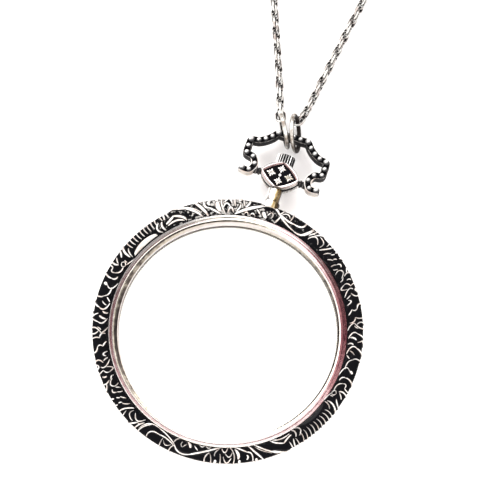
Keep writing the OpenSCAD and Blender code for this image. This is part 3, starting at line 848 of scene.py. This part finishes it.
    def ridge(self, shape: Shape, path: Array, widths: Array, heights: Array) -> None:
        """Lays a rounded ridge with dark skirts along the band, and again half a turn on.

        Args:
            shape: what to add to.
            path: rows of a chart angle and a share of the band's width.
            widths: the ridge's width at each row.
            heights: its height there.
        """
        turn = np.radians(np.linspace(-self.ridge_past, 180 + self.ridge_past, self.section))
        out, up = np.transpose(self.skirt)
        laid = np.tile(up, (len(path), 1))
        raised = np.outer(heights, np.sin(turn)) - self.sunk
        raised[:, [0, -1]] = self.ridge_foot
        lift = np.hstack([laid, raised, laid[:, ::-1]])
        for half_turn, broad in ((0.0, 1.0), (180.0, self.far_broad)):
            chart = path[:, 0] + half_turn
            places, normals = self.band_point(chart, path[:, 1])
            sides = unit(np.cross(normals, np.gradient(places, axis=0)))
            worn_and_lit = self.wear_and_sheen(chart)[:, None]
            spread = widths[:, None] / 2 * (broad + self.lit_spread * worn_and_lit)
            skirt = spread + out
            across = np.hstack([skirt, np.cos(turn) * spread, -skirt[:, ::-1]])
            # crests bright and flanks black as the patina lies, brighter still on the lit side:
            # painted light
            marks = np.hstack([0 * laid, np.clip(np.sin(turn), 0, 1) + self.lit_more * worn_and_lit,
                               0 * laid])
            points = places[:, None] + sides[:, None] * across[..., None] \
                + normals[:, None] * lift[..., None]
            shape.grid(points + self.centre, round_columns=True, mark=marks, capped=True)

    def comb(self) -> list[tuple[float, ...]]:
        """Returns the comb's slightly curved bars as rows like those of STRANDS."""
        tops, feet = (at + pitch * np.arange(self.comb_bars) for at, pitch in self.comb_ends)
        return [(top, 110, (top + foot) / 2 + self.comb_bulge, 76, foot, self.comb_share,
                 self.comb_wide) for top, foot in zip(tops, feet)]

    def ornament(self) -> None:
        """Builds the raised ornament: its strands, its comb of bars and its smooth domes."""
        shape = Shape()
        t = np.linspace(0, 1, self.steps)
        fade = np.abs(2 * t - 1)
        weights = np.stack([2 * (t - 0.5) * (t - 1), -4 * t * (t - 1), 2 * t * (t - 0.5)], 1)
        for *line, width in [*STRANDS, *self.comb()]:
            path = weights @ (np.reshape(line, (3, 2)) * (1, 0.01))
            self.ridge(shape, path, width / 100 * (1 - self.tip_narrower * fade ** 3),
                       (self.relief + self.sunk) * (1 - self.tip_lower * fade ** 4))
        self.dome(shape)
        shape.piece("ring_ornament", (STRAND,), Slot.ANTIQUE)

    def dome(self, shape: Shape) -> None:
        """Lays a smooth swelling between the comb and the rim, and again half a turn on.

        Args:
            shape: what to add to.
        """
        across = np.linspace(-1, 1, 21)[:, None]
        up = np.linspace(0, 1, 7)[None]
        span = np.sqrt(np.clip(1 - across ** 2, 0, 1))
        lift = self.dome_lift * span * np.sin(np.pi * up) - self.dome_sunk
        # painted light: the dome on the lit side is bright, the one half a turn on mostly black
        for at, worn_and_lit in ((self.dome_at, 1.0), (self.dome_at + 180.0, 0.2)):
            places, normals = self.band_point(at + self.dome_half * across + 0 * up,
                                              0.01 + self.dome_share * span * up)
            shape.grid(places + normals * lift[..., None] + self.centre, mark=worn_and_lit)
            shape.grid(places - normals * self.dome_under + self.centre, mark=worn_and_lit)

    def build(self) -> None:
        """Builds the ring's pieces."""
        self.body()
        self.ornament()


@dataclass
class Lens:
    """The lens and the finely ribbed keeper that holds it in from behind."""

    ring: RingFrame
    radius: float = 23.3
    edge_t: float = 0.9
    middle_t: float = 3.9
    fit: float = 0.05
    keeper_fit: float = 0.03
    keeper_bevel: float = 0.1
    keeper_lift: float = 0.08
    ribs: int = 330
    rib_in: float = 0.16
    shaded_at: float = -22.0
    shaded_half: float = 24.0
    turns: int = 144

    def heights(self, radii: float | Array) -> float | Array:
        """Finds the front's heights over the lens's flat back.

        Args:
            radii: where, from the middle.

        Returns:
            The heights.
        """
        sag = self.middle_t - self.edge_t
        ball = (self.radius ** 2 + sag ** 2) / (2 * sag)
        return np.sqrt(ball ** 2 - radii ** 2) - ball + self.middle_t

    @property
    def back_z(self) -> float:
        """The height of the flat back. The front's curve meets the ring's lip."""
        return self.ring.seat_z - self.fit - self.heights(self.ring.lip_r)

    def glass(self) -> None:
        """Turns the domed front, the edge and the flat back."""
        radii = np.linspace(0.02, self.radius, 22)
        front = np.column_stack([radii, self.heights(radii) + self.back_z])
        back = [(radius, self.back_z) for radius in radii[::-7]]
        shape = Shape()
        points = turned(np.vstack([front, back]), self.turns)
        shape.grid(points + self.ring.centre, True, True)
        shape.piece("lens_glass", (GLASS,), Slot.GLASS, ["lens"], 50)

    def keeper(self) -> None:
        """Turns the keeper, its inner wall cut into fine upright ribs."""
        top = self.back_z - self.fit
        foot = self.keeper_lift - self.ring.mid
        outer, lip = self.ring.bore_r - self.keeper_fit, self.ring.lip_r
        bevel = self.keeper_bevel
        columns = self.ribs * 4
        tooth = np.tile([0, 1, 1, 0], self.ribs)
        profile = np.tile([(outer, foot), (outer, top), (lip, top), (lip, top - bevel),
                           (lip, foot + bevel), (lip, foot)], (columns, 1, 1))
        profile[:, 2:, 0] -= self.rib_in * tooth[:, None]
        shaded = nearness(np.degrees(whole_turn(columns)), self.shaded_at, self.shaded_half, 1.2)
        shape = Shape()
        shape.grid(turned(profile, columns) + self.ring.centre, True, True,
                   mark=(shaded * (tooth - 1))[:, None])
        shape.piece("keeper_ribs", (KEEPER,), Slot.KEEPER, ["lens_keeper"])

    def build(self) -> None:
        """Builds the lens's pieces."""
        self.glass()
        self.keeper()


@dataclass
class Crown:
    """The neck, the lozenge with its panel, and the fluted knob on it."""

    ring: RingFrame
    ring_r: float = 28.0
    relief: float = 0.25
    neck_len: float = 3.3
    neck_sunk: float = 0.85
    foot_len: float = 0.5
    foot_d: float = 3.8
    neck_d: float = 3.1
    neck_turns: int = 64
    # Places across the neck and the tints there: silver on its left, then a painted warm
    # reflection, and painted shade at its right edge.
    neck_painted_light: Rows = ((0.2, 0.45, 0.7, 0.95, 1.2, 1.4), (0.0, -0.5, -0.65, -0.4, -0.65, -1.0))
    width: float = 8.2
    height: float = 6.0
    thick: float = 4.5
    panel_drop: float = 0.5
    knob_d: float = 3.8
    knob_len: float = 2.1
    flutes: int = 20
    flute_steps: int = 10
    flute_depth: float = 0.28
    # Half a groove's width in walls, and a wall's in shares of a flute.
    groove_half: float = 1.9
    groove_wall: float = 0.24
    top_cut: float = 0.3
    tip_cut: float = 0.1
    gap: float = 0.05
    sides: int = 96
    florets: Rows = ((-0.47, 0), (0.47, 0), (0, 0.46), (0, -0.46))
    floret_stretch: float = 1.12
    # Half lengths and breadths of long and short petals, and radii of eyes and beads.
    petals: Rows = ((0.41, 0.2), (0.29, 0.13))
    petal_rise: float = 0.22
    petal_out: float = 0.12
    eye: Triple = (0.15, 0.15, 0.16)
    eye_up: float = 0.1
    bead: Triple = (0.35, 0.35, 0.24)
    bead_up: float = 0.08

    @property
    def middle(self) -> Array:
        """The lozenge's centre."""
        return self.ring.centre + (0, self.ring_r + self.neck_len + self.height / 2, 0)

    def neck(self) -> None:
        """Turns the neck, its foot cut to sit on the band's curve."""
        ring = self.ring
        y0 = self.ring_r - self.neck_sunk
        y1 = self.ring_r + self.neck_len + self.top_cut - self.gap
        shank = self.ring_r + self.foot_len
        r0, r1 = self.foot_d / 2, self.neck_d / 2
        profile = np.array([  # radius, place along Y
            (0.01, y0), (r0, y0), (r0, shank - 0.1), (r0 - 0.05, shank), (r1, shank + 0.4),
            (r1 - 0.06, (shank + y1) / 2), (r1, y1 - 0.15), (r1 - 0.1, y1), (0.01, y1)])
        points = turned(profile, self.neck_turns, 1)
        x, y, z = np.moveaxis(points, 2, 0)
        rise = np.clip(z / (ring.band_crest + self.relief), 0, 1)
        fall = np.clip(-z / ring.mid, 0, 1)
        seat = self.ring_r + self.gap - ring.flank * (1 - np.sqrt(1 - fall ** 2)) \
            - (ring.band_w / 2 + self.relief) * (1 - np.sqrt(1 - rise ** 2))
        points[..., 1] = np.where(y < y0 + 0.01, np.maximum(seat, y0), y)
        shape = Shape()
        # the mark paints a warm reflection and shade down the neck's right side
        shape.grid(points + ring.centre, True, mark=np.interp(x, *self.neck_painted_light))
        shape.piece("neck_stem", (NECK,), Slot.POLISHED, ["neck"])

    def outline(self, size: float, roundness: float) -> Array:
        """Draws the lozenge's outline, its corners cut off.

        Args:
            size: a share of its full size.
            roundness: 1 for straight sides and 2 for an ellipse.

        Returns:
            A row of X and Y for each corner.
        """
        circle = polar(whole_turn(self.sides), 1.0, 0.0)[:, :2]
        half = np.array([self.width, self.height]) / 2
        limit = half - (self.tip_cut, self.top_cut)
        full = size * half * np.sign(circle) * np.abs(circle) ** (2 / roundness)
        return np.clip(full, -limit, limit)

    def loft(self, shape: Shape, rows: Sequence[Sequence[float]], paint: int,
             side: int = 1) -> None:
        """Lofts through rings of the lozenge.

        Args:
            shape: what to add to.
            rows: each ring's height over half the thickness, size, roundness and mark.
            paint: the finish's place among the piece's.
            side: 1 in front and -1 behind.
        """
        points = [np.column_stack([self.outline(size, roundness),
                                   np.full(self.sides, side * height * self.thick / 2)])
                  for height, size, roundness, _ in rows]
        shape.grid(np.array(points) + self.middle, round_columns=True, paint=paint,
                   mark=np.array(rows)[:, 3:])

    def lozenge(self) -> None:
        """Lofts the lozenge's ridged side, and a rim with a painted rose reflection and a black
        panel each way.
        """
        wall = [(0.0, 0.91, 0.0), (0.1, 0.92, 0.0), (0.14, 0.96, 0.5), (0.18, 0.96, 0.5),
                (0.22, 0.93, 0.0), (0.3, 0.95, 0.0), (0.34, 1.01, 0.8), (0.38, 1.01, 0.8),
                (0.42, 0.97, 0.0), (0.5, 0.97, 0.0), (0.54, 1.025, 0.9), (0.62, 1.025, 0.9),
                (0.66, 0.98, 0.0), (0.74, 0.98, 0.0)]
        wall = [(-height, *rest) for height, *rest in wall[:0:-1]] + wall
        depth = 1.0 - self.panel_drop / (self.thick / 2)
        # the rim's marks: darkest at its foot, silver on top, and a painted rose reflection on its
        # bevels
        rim = [(0.74, 0.98, 1.5, -0.9), (0.79, 1.02, 1.48, -0.5), (0.84, 1.015, 1.46, 0.3),
               (0.92, 1.0, 1.42, 0.25), (0.96, 0.985, 1.38, 0.0), (1.0, 0.96, 1.35, 0.0),
               (1.0, 0.93, 1.25, 0.0), (0.98, 0.915, 1.23, 0.3), (depth + 0.03, 0.835, 1.2, 0.4)]
        panel = [(depth + 0.03, 0.835, 1.2, 0.0), (depth, 0.83, 1.2, 0.0),
                 (depth, 0.4, 1.2, 0.0), (depth, 0.01, 1.2, 0.0)]
        shape = Shape()
        self.loft(shape, [(height, size, 1.5, mark) for height, size, mark in wall], 0)
        for side in (1, -1):
            self.loft(shape, rim, 1, side)
            self.loft(shape, panel, 2, side)
        shape.piece("lozenge", (STRAND, RIM, CHANNEL), Slot.ANTIQUE, ["crown_body"])

    def panel_work(self) -> None:
        """Sets four florets round a bead in each panel."""
        shape = Shape()
        floor = self.thick / 2 - self.panel_drop
        for side in (1, -1):
            for x, y in self.florets:
                at = self.middle + (x * self.width / 2, y * self.height / 2, side * floor)
                self.floret(shape, at, side, self.floret_stretch if x else 1.0)
            shape.ball(self.middle + (0, 0, side * (floor + self.bead_up)), self.bead)
        shape.piece("florets", (FLORET,), Slot.ANTIQUE)

    def floret(self, shape: Shape, at: Array, side: int, stretch: float) -> None:
        """Adds a floret: four long petals in a cross, four short ones and an eye.

        Args:
            shape: what to add to.
            at: its middle, on the panel's floor.
            side: 1 in front and -1 behind.
            stretch: how much broader it is than it is high.
        """
        for k, angle in enumerate(whole_turn(8)):
            half, breadth = self.petals[k % 2]
            c, s = math.cos(angle), math.sin(angle)
            petal = Shape()
            petal.ball((half + self.petal_out, 0, 0), (half, breadth, self.petal_rise), 12, 7)
            points = petal.points[0] @ [[c, s, 0], [-s, c, 0], [0, 0, 1]] * (stretch, 1, 1) + at
            shape.add(points, petal.faces,
                      mark=np.clip(petal.points[0][:, 2] * side / 0.2, 0, 1))
        shape.ball(at + (0, 0, side * self.eye_up), self.eye, 10, 7)

    def knob(self) -> None:
        """Builds the fluted knob: broad bright ribs with narrow black grooves."""
        columns = self.flutes * self.flute_steps
        phase = np.arange(columns) / self.flute_steps % 1.0
        groove = np.clip(self.groove_half - np.abs(phase - 0.5) / self.groove_wall, 0, 1)
        shaded = np.clip(5 * np.sin(whole_turn(columns)) - 3.4, 0, 1)  # dark towards +X
        along, size, cut = np.transpose([  # shares of the length, radius and flutes' depth
            (0.0, 1.0, 0.0), (0.06, 1.0, 1.0), (0.5, 1.0, 1.0), (0.94, 1.0, 1.0),
            (0.98, 0.98, 1.0), (1.0, 0.95, 0.8)])
        radius = self.knob_d / 2 * size - np.outer(groove, self.flute_depth * cut)
        points = turned(np.dstack([radius, self.knob_len * along + 0 * radius]), columns, 1)
        foot = self.middle + (0, self.height / 2 - self.top_cut + self.gap, 0)
        shape = Shape()
        shape.grid(points.swapaxes(0, 1) + foot, round_columns=True,
                   mark=1.4 - 2.2 * np.outer(cut, groove) - shaded, capped=True)
        shape.piece("fluted_knob", (FLUTED,), Slot.POLISHED, ["crown_knob"])

    def build(self) -> None:
        """Builds the crown's pieces."""
        self.neck()
        self.lozenge()
        self.panel_work()
        self.knob()


@dataclass
class Bow:
    """The hinged bow: a scrolled bar whose sunk channel holds a row of pearls."""

    crown: Crown
    width: float = 16.8
    height: float = 9.5
    bar_w: float = 1.5
    bar_t: float = 1.9
    wall: float = 0.18
    channel_drop: float = 0.25
    pearl_d: float = 1.0
    corner_pearl_d: float = 1.25
    pearl_sunk: float = 0.1
    # Pearls are painted darker away from this direction, up and towards the upper left: painted
    # shade.
    pearl_lit: Triple = (-0.45, 0.4, 0.8)
    drop: float = 7.0
    ear_d: float = 1.6
    ear_gap: float = 0.3
    pin_r: float = 0.55
    pin_len: float = 1.5
    ear_at: float = 0.7
    smooth: int = 6
    # The bar's reach past its last pearls, and shares of the reach and of the width there.
    reach: float = 0.72
    ends: Rows = ((0.35, 0.95), (0.75, 0.8), (0.95, 0.55), (1.0, 0.3))
    # The bar's lips and walls are brighter towards its foot: below this height, growing over a
    # depth, by this much.
    brightening_below: float = 2.6
    brightening_over: float = 1.5
    brightening_more: float = 0.55
    # Half the pearls: shares of half the width and of the height, and whether they are large.
    half: tuple[tuple[float, float, bool], ...] = (
        (0.97, -0.08, True), (0.79, -0.075, False), (0.7, 0.1, False), (0.8, 0.255, False),
        (0.985, 0.31, False), (1, 0.47, False), (0.985, 0.64, True), (0.8, 0.68, False),
        (0.645, 0.755, False), (0.505, 0.865, False), (0.385, 0.985, True),
        (0.185, 0.99, False), (0, 1, False))

    def stations(self) -> tuple[Array, list[bool]]:
        """Finds the pearls' places, end to end.

        Returns:
            The places in the bow's plane, and which are of large pearls.
        """
        right = [(x * self.width / 2, y * self.height, big) for x, y, big in self.half]
        line = [(-x, y, big) for x, y, big in right] + right[-2::-1]
        return np.array([(x, y) for x, y, _ in line]), [big for *_, big in line]

    def leaned(self, points: Array) -> Array:
        """Turns points from the bow's own plane to how it lies, hinged at the lozenge."""
        c, s = math.cos(math.radians(self.drop)), math.sin(math.radians(self.drop))
        return points @ [[1, 0, 0], [0, c, -s], [0, s, c]] + self.crown.middle

    def bar(self) -> None:
        """Sweeps the bar along the pearls, with its lips, black channel and rounded ends."""
        line, _ = self.stations()
        curve = smooth_curve(line, self.smooth)
        first, last = unit(curve[0] - curve[1]), unit(curve[-1] - curve[-2])
        past, narrow = np.transpose(self.ends)
        past = past[:, None] * self.reach
        path = np.vstack([curve[0] + first * past[::-1], curve, curve[-1] + last * past])
        widths = np.concatenate([narrow[::-1], np.ones(len(curve)), narrow])
        along = unit(np.gradient(path, axis=0))
        sides = np.stack([along[:, 1], -along[:, 0]], 1)
        w, t, lip = self.bar_w / 2, self.bar_t / 2, self.wall
        section = [  # across, up, mark of the point, finish of the side that follows
            (-w + 0.12, -t, 0.9, 0), (w - 0.12, -t, 0.9, 2), (w, -t + 0.14, 0.5, 2),
            (w, -0.1, 0.15, 2), (w, t - 0.12, 0.25, 2), (w - 0.05, t - 0.02, 0.6, 0),
            (w - lip + 0.04, t, 0.6, 0), (w - lip, t - 0.05, 0.1, 1),
            (w - lip - 0.02, t - self.channel_drop, 0.0, 1),
            (-w + lip + 0.02, t - self.channel_drop, 0.0, 1), (-w + lip, t - 0.05, 0.1, 0),
            (-w + lip - 0.04, t, 0.6, 0), (-w + 0.05, t - 0.02, 0.6, 2),
            (-w, t - 0.12, 0.25, 2), (-w, -0.1, 0.15, 2), (-w, -t + 0.14, 0.5, 2)]
        across, up, marks, paints = np.transpose(section)
        across = across * widths[:, None]
        flat = path[:, None] + sides[:, None] * across[..., None]
        brightening = np.clip((self.brightening_below - path[:, 1]) / self.brightening_over, 0, 1)[:, None]
        marks = marks + self.brightening_more * brightening * (marks > 0) * (np.abs(across) > w - lip)
        shape = Shape()
        shape.grid(self.leaned(np.dstack([flat, up + 0 * across])), round_columns=True,
                   paint=[int(paint) for paint in paints], mark=marks, capped=True)
        shape.piece("bow_bar", (STRAND, CHANNEL, FLANK), Slot.ANTIQUE, ["bow"], body=Body.BOW)

    def pearls(self) -> None:
        """Sets a pearl at each station of the channel."""
        shape = Shape()
        for (x, y), big in zip(*self.stations()):
            d = self.corner_pearl_d if big else self.pearl_d
            z = self.bar_t / 2 - self.channel_drop + d / 2 - self.pearl_sunk
            pearl = Shape()
            pearl.ball((0, 0, 0), (d / 2,) * 3, 22, 13)
            places = pearl.points[0]
            # painted shade on each pearl's side away from the light
            shape.add(places + self.leaned(np.array([x, y, z])), pearl.faces,
                      mark=places @ self.pearl_lit / d * 2)
        shape.piece("bow_pearls", (PEARL,), Slot.ANTIQUE, body=Body.BOW)

    def ears(self) -> None:
        """Turns the two ears and pins that join the bow to the lozenge."""
        ear_x = self.crown.width / 2 - self.crown.tip_cut
        end = self.ear_at * self.width / 2 - ear_x
        r, gap = self.ear_d / 2, self.ear_gap
        profile = np.array([  # radius, distance out from the lozenge's tip, mark
            (0.01, -self.pin_len, 0.0), (self.pin_r, -self.pin_len, 0.0), (self.pin_r, gap, 0.0),
            (r - 0.12, gap, 0.1), (r, gap + 0.1, 0.5), (r, 0.65, 0.3), (r - 0.14, 0.75, 0.0),
            (r - 0.14, 1.0, 0.0), (r, 1.1, 0.5), (r, end, 0.1), (0.01, end, 0.0)])
        points = turned(profile + (0, ear_x, 0), 40, 0)
        shape = Shape()
        for side in (1, -1):
            shape.grid(self.leaned(points * (side, 1, 1)), True, mark=profile[:, 2])
        shape.piece("bow_ears", (FLANK,), Slot.ANTIQUE, body=Body.BOW)

    def top_bar(self) -> Array:
        """Returns the place on the surface under the middle of the top bar."""
        out = self.height * math.cos(math.radians(self.drop))
        return (self.crown.middle + (0, out, 0)) * (1, 1, 0)

    def build(self) -> None:
        """Builds the bow's pieces."""
        self.bar()
        self.pearls()
        self.ears()


@dataclass
class JumpRing:
    """A wire ring that stands on edge round the bow's top bar, and the end link on it.

    The offset is its centre's from the middle of the top bar. Its plane is turned by heading
    from +Y and leans, the link hangs on it, in degrees below level, and is pulled one way.
    """

    side: str
    bow: Bow
    offset: tuple[float, float]
    heading: float
    lean: float
    hang: float
    pull: Triple
    outer_d: float = 8.5
    wire: float = 0.9
    link: Triple = (3.6, 2.4, 0.55)
    link_gap: float = 0.08
    steps: int = 96
    sides: int = 20
    link_steps: int = 36
    link_sides: int = 14
    # Painted light on the wire: how much brighter it is on one side and at its top, and how much
    # painted shade darkens its near side.
    shade: float = 0.7
    top_light: float = 0.5
    near_shade: float = 0.7

    @property
    def centre(self) -> Array:
        """The ring's centre. Its lowest point is on the surface."""
        return self.bow.top_bar() + (*self.offset, self.outer_d / 2)

    @property
    def radius(self) -> float:
        """The radius of the wire's middle line."""
        return (self.outer_d - self.wire) / 2

    def axes(self) -> Array:
        """Returns the ring's level direction and its steep one."""
        a, b = math.radians(self.heading), math.radians(self.lean)
        return np.array([(-math.sin(a), math.cos(a), 0.0),
                         (-math.cos(a) * math.sin(b), -math.sin(a) * math.sin(b), math.cos(b))])

    def hanging(self) -> tuple[Array, Array, Array]:
        """Finds how the end link lies on the ring.

        Returns:
            The link's middle, its axis and its breadth.
        """
        h = math.radians(self.hang)
        out, along_wire = [[math.cos(h), -math.sin(h)], [math.sin(h), math.cos(h)]] @ self.axes()
        axis = unit(self.pull - np.dot(self.pull, along_wire) * along_wire)
        length, _, wire = self.link
        seat = (length - wire) / 2 - (self.wire + wire) / 2 - self.link_gap
        return self.centre + self.radius * out + seat * axis, axis, np.cross(along_wire, axis)

    def build(self) -> None:
        """Builds the ring and its link."""
        level, steep = self.axes()
        outward = arc((0, 0), (1, 1), 0, 360, self.steps + 1)[:-1] @ (level, steep)
        shape = Shape()
        shape.wire(self.centre + self.radius * outward, outward, np.cross(steep, level),
                   self.wire, self.sides, self.shade)
        place = shape.points[0] - self.centre
        # painted light brightens the top, and painted shade darkens the near side
        near = np.minimum(place @ level / self.radius + 0.15, 0)
        shape.marks[0] = shape.marks[0] + self.top_light * place[:, 2] / self.centre[2] \
            + self.near_shade * near
        shape.piece(f"split_ring_{self.side}", (RING_WIRE,), Slot.WIRE, [f"jump_ring_{self.side}"])
        oval = Shape()
        oval.link(*self.hanging(), self.link, self.link_steps, self.link_sides)
        oval.piece(f"oval_link_{self.side}", (CHAIN_WIRE,), Slot.WIRE, [f"end_link_{self.side}"])


@dataclass
class Chain:
    """The fine twisted chain: oval links, each through the next two, along one course.

    The route's points go from the middle of the bow's top bar, out and back again. The chain
    twists by half a turn in the length of weave, and look is how far ahead and behind a link its
    direction is taken.
    """

    left: JumpRing
    right: JumpRing
    width: float = 1.85
    clear: float = 0.02
    tip_gap: float = 0.15
    left_count: int = 20
    curve_steps: int = 24
    pitch: float = 0.95
    link: Triple = (2.8, 1.84, 0.42)
    weave: float = 3.9
    steps: int = 14
    sides: int = 6
    settle: float = 6.0
    start: float = 1.1
    look: float = 0.4
    route: Rows = (
        (-7, 12), (-14, 29.5), (-20, 43), (-29, 61), (-39, 79), (-50, 96), (-60, 113),
        (-71, 130), (-81, 147), (-92, 165), (-103, 182), (-112, 200), (-117, 219), (-117, 239),
        (-113, 259), (-105, 277), (-92, 293), (-77, 306), (-59, 315), (-40, 319),
        (-22, 318), (-2, 314), (16, 306), (32, 294), (44, 279), (53, 261), (58, 241), (57, 221),
        (53, 201), (47, 182), (41, 163), (34, 144), (28, 125), (22, 105), (16, 86), (11, 67),
        (7, 47.5), (4.5, 35.5), (1, 10))

    def course(self) -> tuple[Array, float]:
        """Lays out the chain's middle line, level but for its ends, which rise to their rings.

        Returns:
            The line, and the length of its left strand.
        """
        (a, a_axis, _), (b, b_axis, _) = self.left.hanging(), self.right.hanging()
        reach = self.left.link[0] / 2 + self.tip_gap
        route = np.array(self.route) + self.left.bow.top_bar()[:2]
        line = np.vstack([(a + reach * a_axis)[:2], route, (b + reach * b_axis)[:2]])
        flat = np.vstack([a[:2], smooth_curve(line, self.curve_steps), b[:2]])
        gone = gone_along(flat)
        level = self.clear + self.width / 2
        height = level + sum((end[2] - level) * (1 - smooth_step(away / self.settle))
                             for end, away in ((a, gone), (b, gone[-1] - gone)))
        return np.column_stack([flat, height]), gone[1 + self.left_count * self.curve_steps]

    def build(self) -> None:
        """Links up both strands from one count, so that they run on where they meet."""
        path, half = self.course()
        gone = gone_along(path)
        count = round((gone[-1] - 2 * self.start) / self.pitch) + 1
        at = np.linspace(self.start, gone[-1] - self.start, count)
        places, ahead, behind = (
            np.stack([np.interp(at + off, gone, part) for part in path.T], 1)
            for off in (0, self.look, -self.look))
        along = unit(ahead - behind)
        level = unit(np.cross(along, (0, 0, 1)))
        turn = (np.pi * at / self.weave)[:, None]
        breadth = np.cos(turn) * level + np.sin(turn) * np.cross(level, along)
        strands = {"left": Shape(), "right": Shape()}
        for s, *lie in zip(at, places, along, breadth):
            strands["left" if s < half else "right"].link(*lie, self.link, self.steps, self.sides)
        for side, shape in strands.items():
            shape.piece(f"chain_links_{side}", (CHAIN_WIRE,), Slot.CHAIN, [f"chain_{side}"], 60)
        LOG.info("chain: %d links, %.0f mm round", count, gone[-1])


@dataclass
class Studio:
    """The white sweep, the soft lights, the room's glow and the camera.

    The camera and its target are in millimetres from the point under the ring's centre, the
    lights in metres from the centre itself.
    """

    centre: Array
    camera_at: Triple = (27.534, -82.289, 373.760)
    target: Triple = (-0.969, 17.381, 3.8)
    roll: float = 2.447
    focal_px: float = 1853.66
    sensor: float = 36.0
    floor_half: float = 2.5

    def floor(self) -> None:
        """Lays the sweep."""
        h = self.floor_half
        mesh = bpy.data.meshes.new("floor")
        mesh.from_pydata([(-h, -h, 0), (h, -h, 0), (h, h, 0), (-h, h, 0)], [], [(0, 1, 2, 3)])
        mesh.materials.append(FLOOR.material())
        placed("floor", mesh)

    def light(self, name: str, at: Triple, size: float, watts: float) -> None:
        """Adds a square soft light that faces the ring.

        Args:
            name: its name.
            at: its place.
            size: the length of its sides, in metres.
            watts: its power.
        """
        data = bpy.data.lights.new(name, "AREA")
        data.shape = "SQUARE"
        data.size = size
        data.energy = watts
        made = placed(name, data)
        made.location = Vector(self.centre * MM) + Vector(at)
        made.rotation_euler = (-Vector(at)).to_track_quat("-Z", "Y").to_euler()

    def room(self) -> None:
        """Lights the room: a bright band half-way up, most so at the upper left."""
        world = bpy.data.worlds.new("room")
        bpy.context.scene.world = world
        world.use_nodes = True
        sheet = ShaderSheet(world.node_tree)
        direction = sheet.node("ShaderNodeTexCoord", output="Generated")
        parts = sheet.node("ShaderNodeSeparateXYZ", inputs={0: direction}).socket.node.outputs
        x, y, z = (Wire(sheet, part) for part in parts)
        lit_side = (y * 0.55 - x * 0.83).fade(-0.7, 0.8)
        near = (y * -1.0).fade(0.5, 1.0)
        above = z.fade(0.74, 0.88)
        band = (z + near * 0.3).fade(0.35, 0.55) * (1 - above)
        beyond = (y * 0.95 - x * 0.32).fade(0.3, 0.46)
        glow = sheet.node("ShaderNodeBackground", inputs={
            "Color": sheet.mix(rgb(1.0, 0.93, 0.92), rgb(1.0, 1.0, 0.99), band),
            "Strength": 0.3 + band * (2.5 + lit_side * 1.2) + above * (0.9 + beyond * 1.8)})
        sheet.end("ShaderNodeOutputWorld", glow)

    def camera(self) -> None:
        """Sets the camera where the photograph was taken from."""
        foot = self.centre * (1, 1, 0)
        ahead = unit(np.subtract(self.target, self.camera_at))
        right = unit(np.cross(ahead, (0, 0, 1)))
        up = np.cross(right, ahead)
        c, s = math.cos(math.radians(self.roll)), math.sin(math.radians(self.roll))
        data = bpy.data.cameras.new("camera")
        data.sensor_width = self.sensor
        data.lens = self.focal_px * self.sensor / PHOTO_SIDE
        data.clip_start = 0.01
        data.clip_end = 20.0
        turn = Matrix((c * right + s * up, c * up - s * right, -ahead)).transposed().to_4x4()
        made = placed("camera", data)
        made.matrix_world = Matrix.Translation(Vector((foot + self.camera_at) * MM)) @ turn
        bpy.context.scene.camera = made

    def build(self) -> None:
        """Builds the studio."""
        self.floor()
        self.room()
        self.camera()
        self.light("softbox_upper_left", (-0.62, 0.3, 0.42), 0.4, 1.2)
        self.light("softbox_right", (0.6, -0.1, 0.5), 0.3, 0.6)
        bpy.context.scene.view_settings.view_transform = "Standard"


def main() -> None:
    """Builds the pendant and its studio."""
    logging.basicConfig(level=logging.INFO, format="%(name)s: %(message)s")
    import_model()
    low, high = (np.array(corner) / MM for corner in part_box("frame"))
    ring = RingFrame(np.array([*((low + high) / 2)[:2], low[2] + RingFrame.mid]))
    ring.build()
    Lens(ring).build()
    crown = Crown(ring)
    crown.build()
    bow = Bow(crown)
    bow.build()
    left = JumpRing("left", bow, (-2.45, 0.8), 30, 2, 32, (-0.36, 0.9, -0.3))
    right = JumpRing("right", bow, (0.1, 0.8), 17, 14, 35, (0.2, 0.95, -0.3))
    left.build()
    right.build()
    Chain(left, right).build()
    Studio(ring.centre).build()


if __name__ == "__main__":
    main()
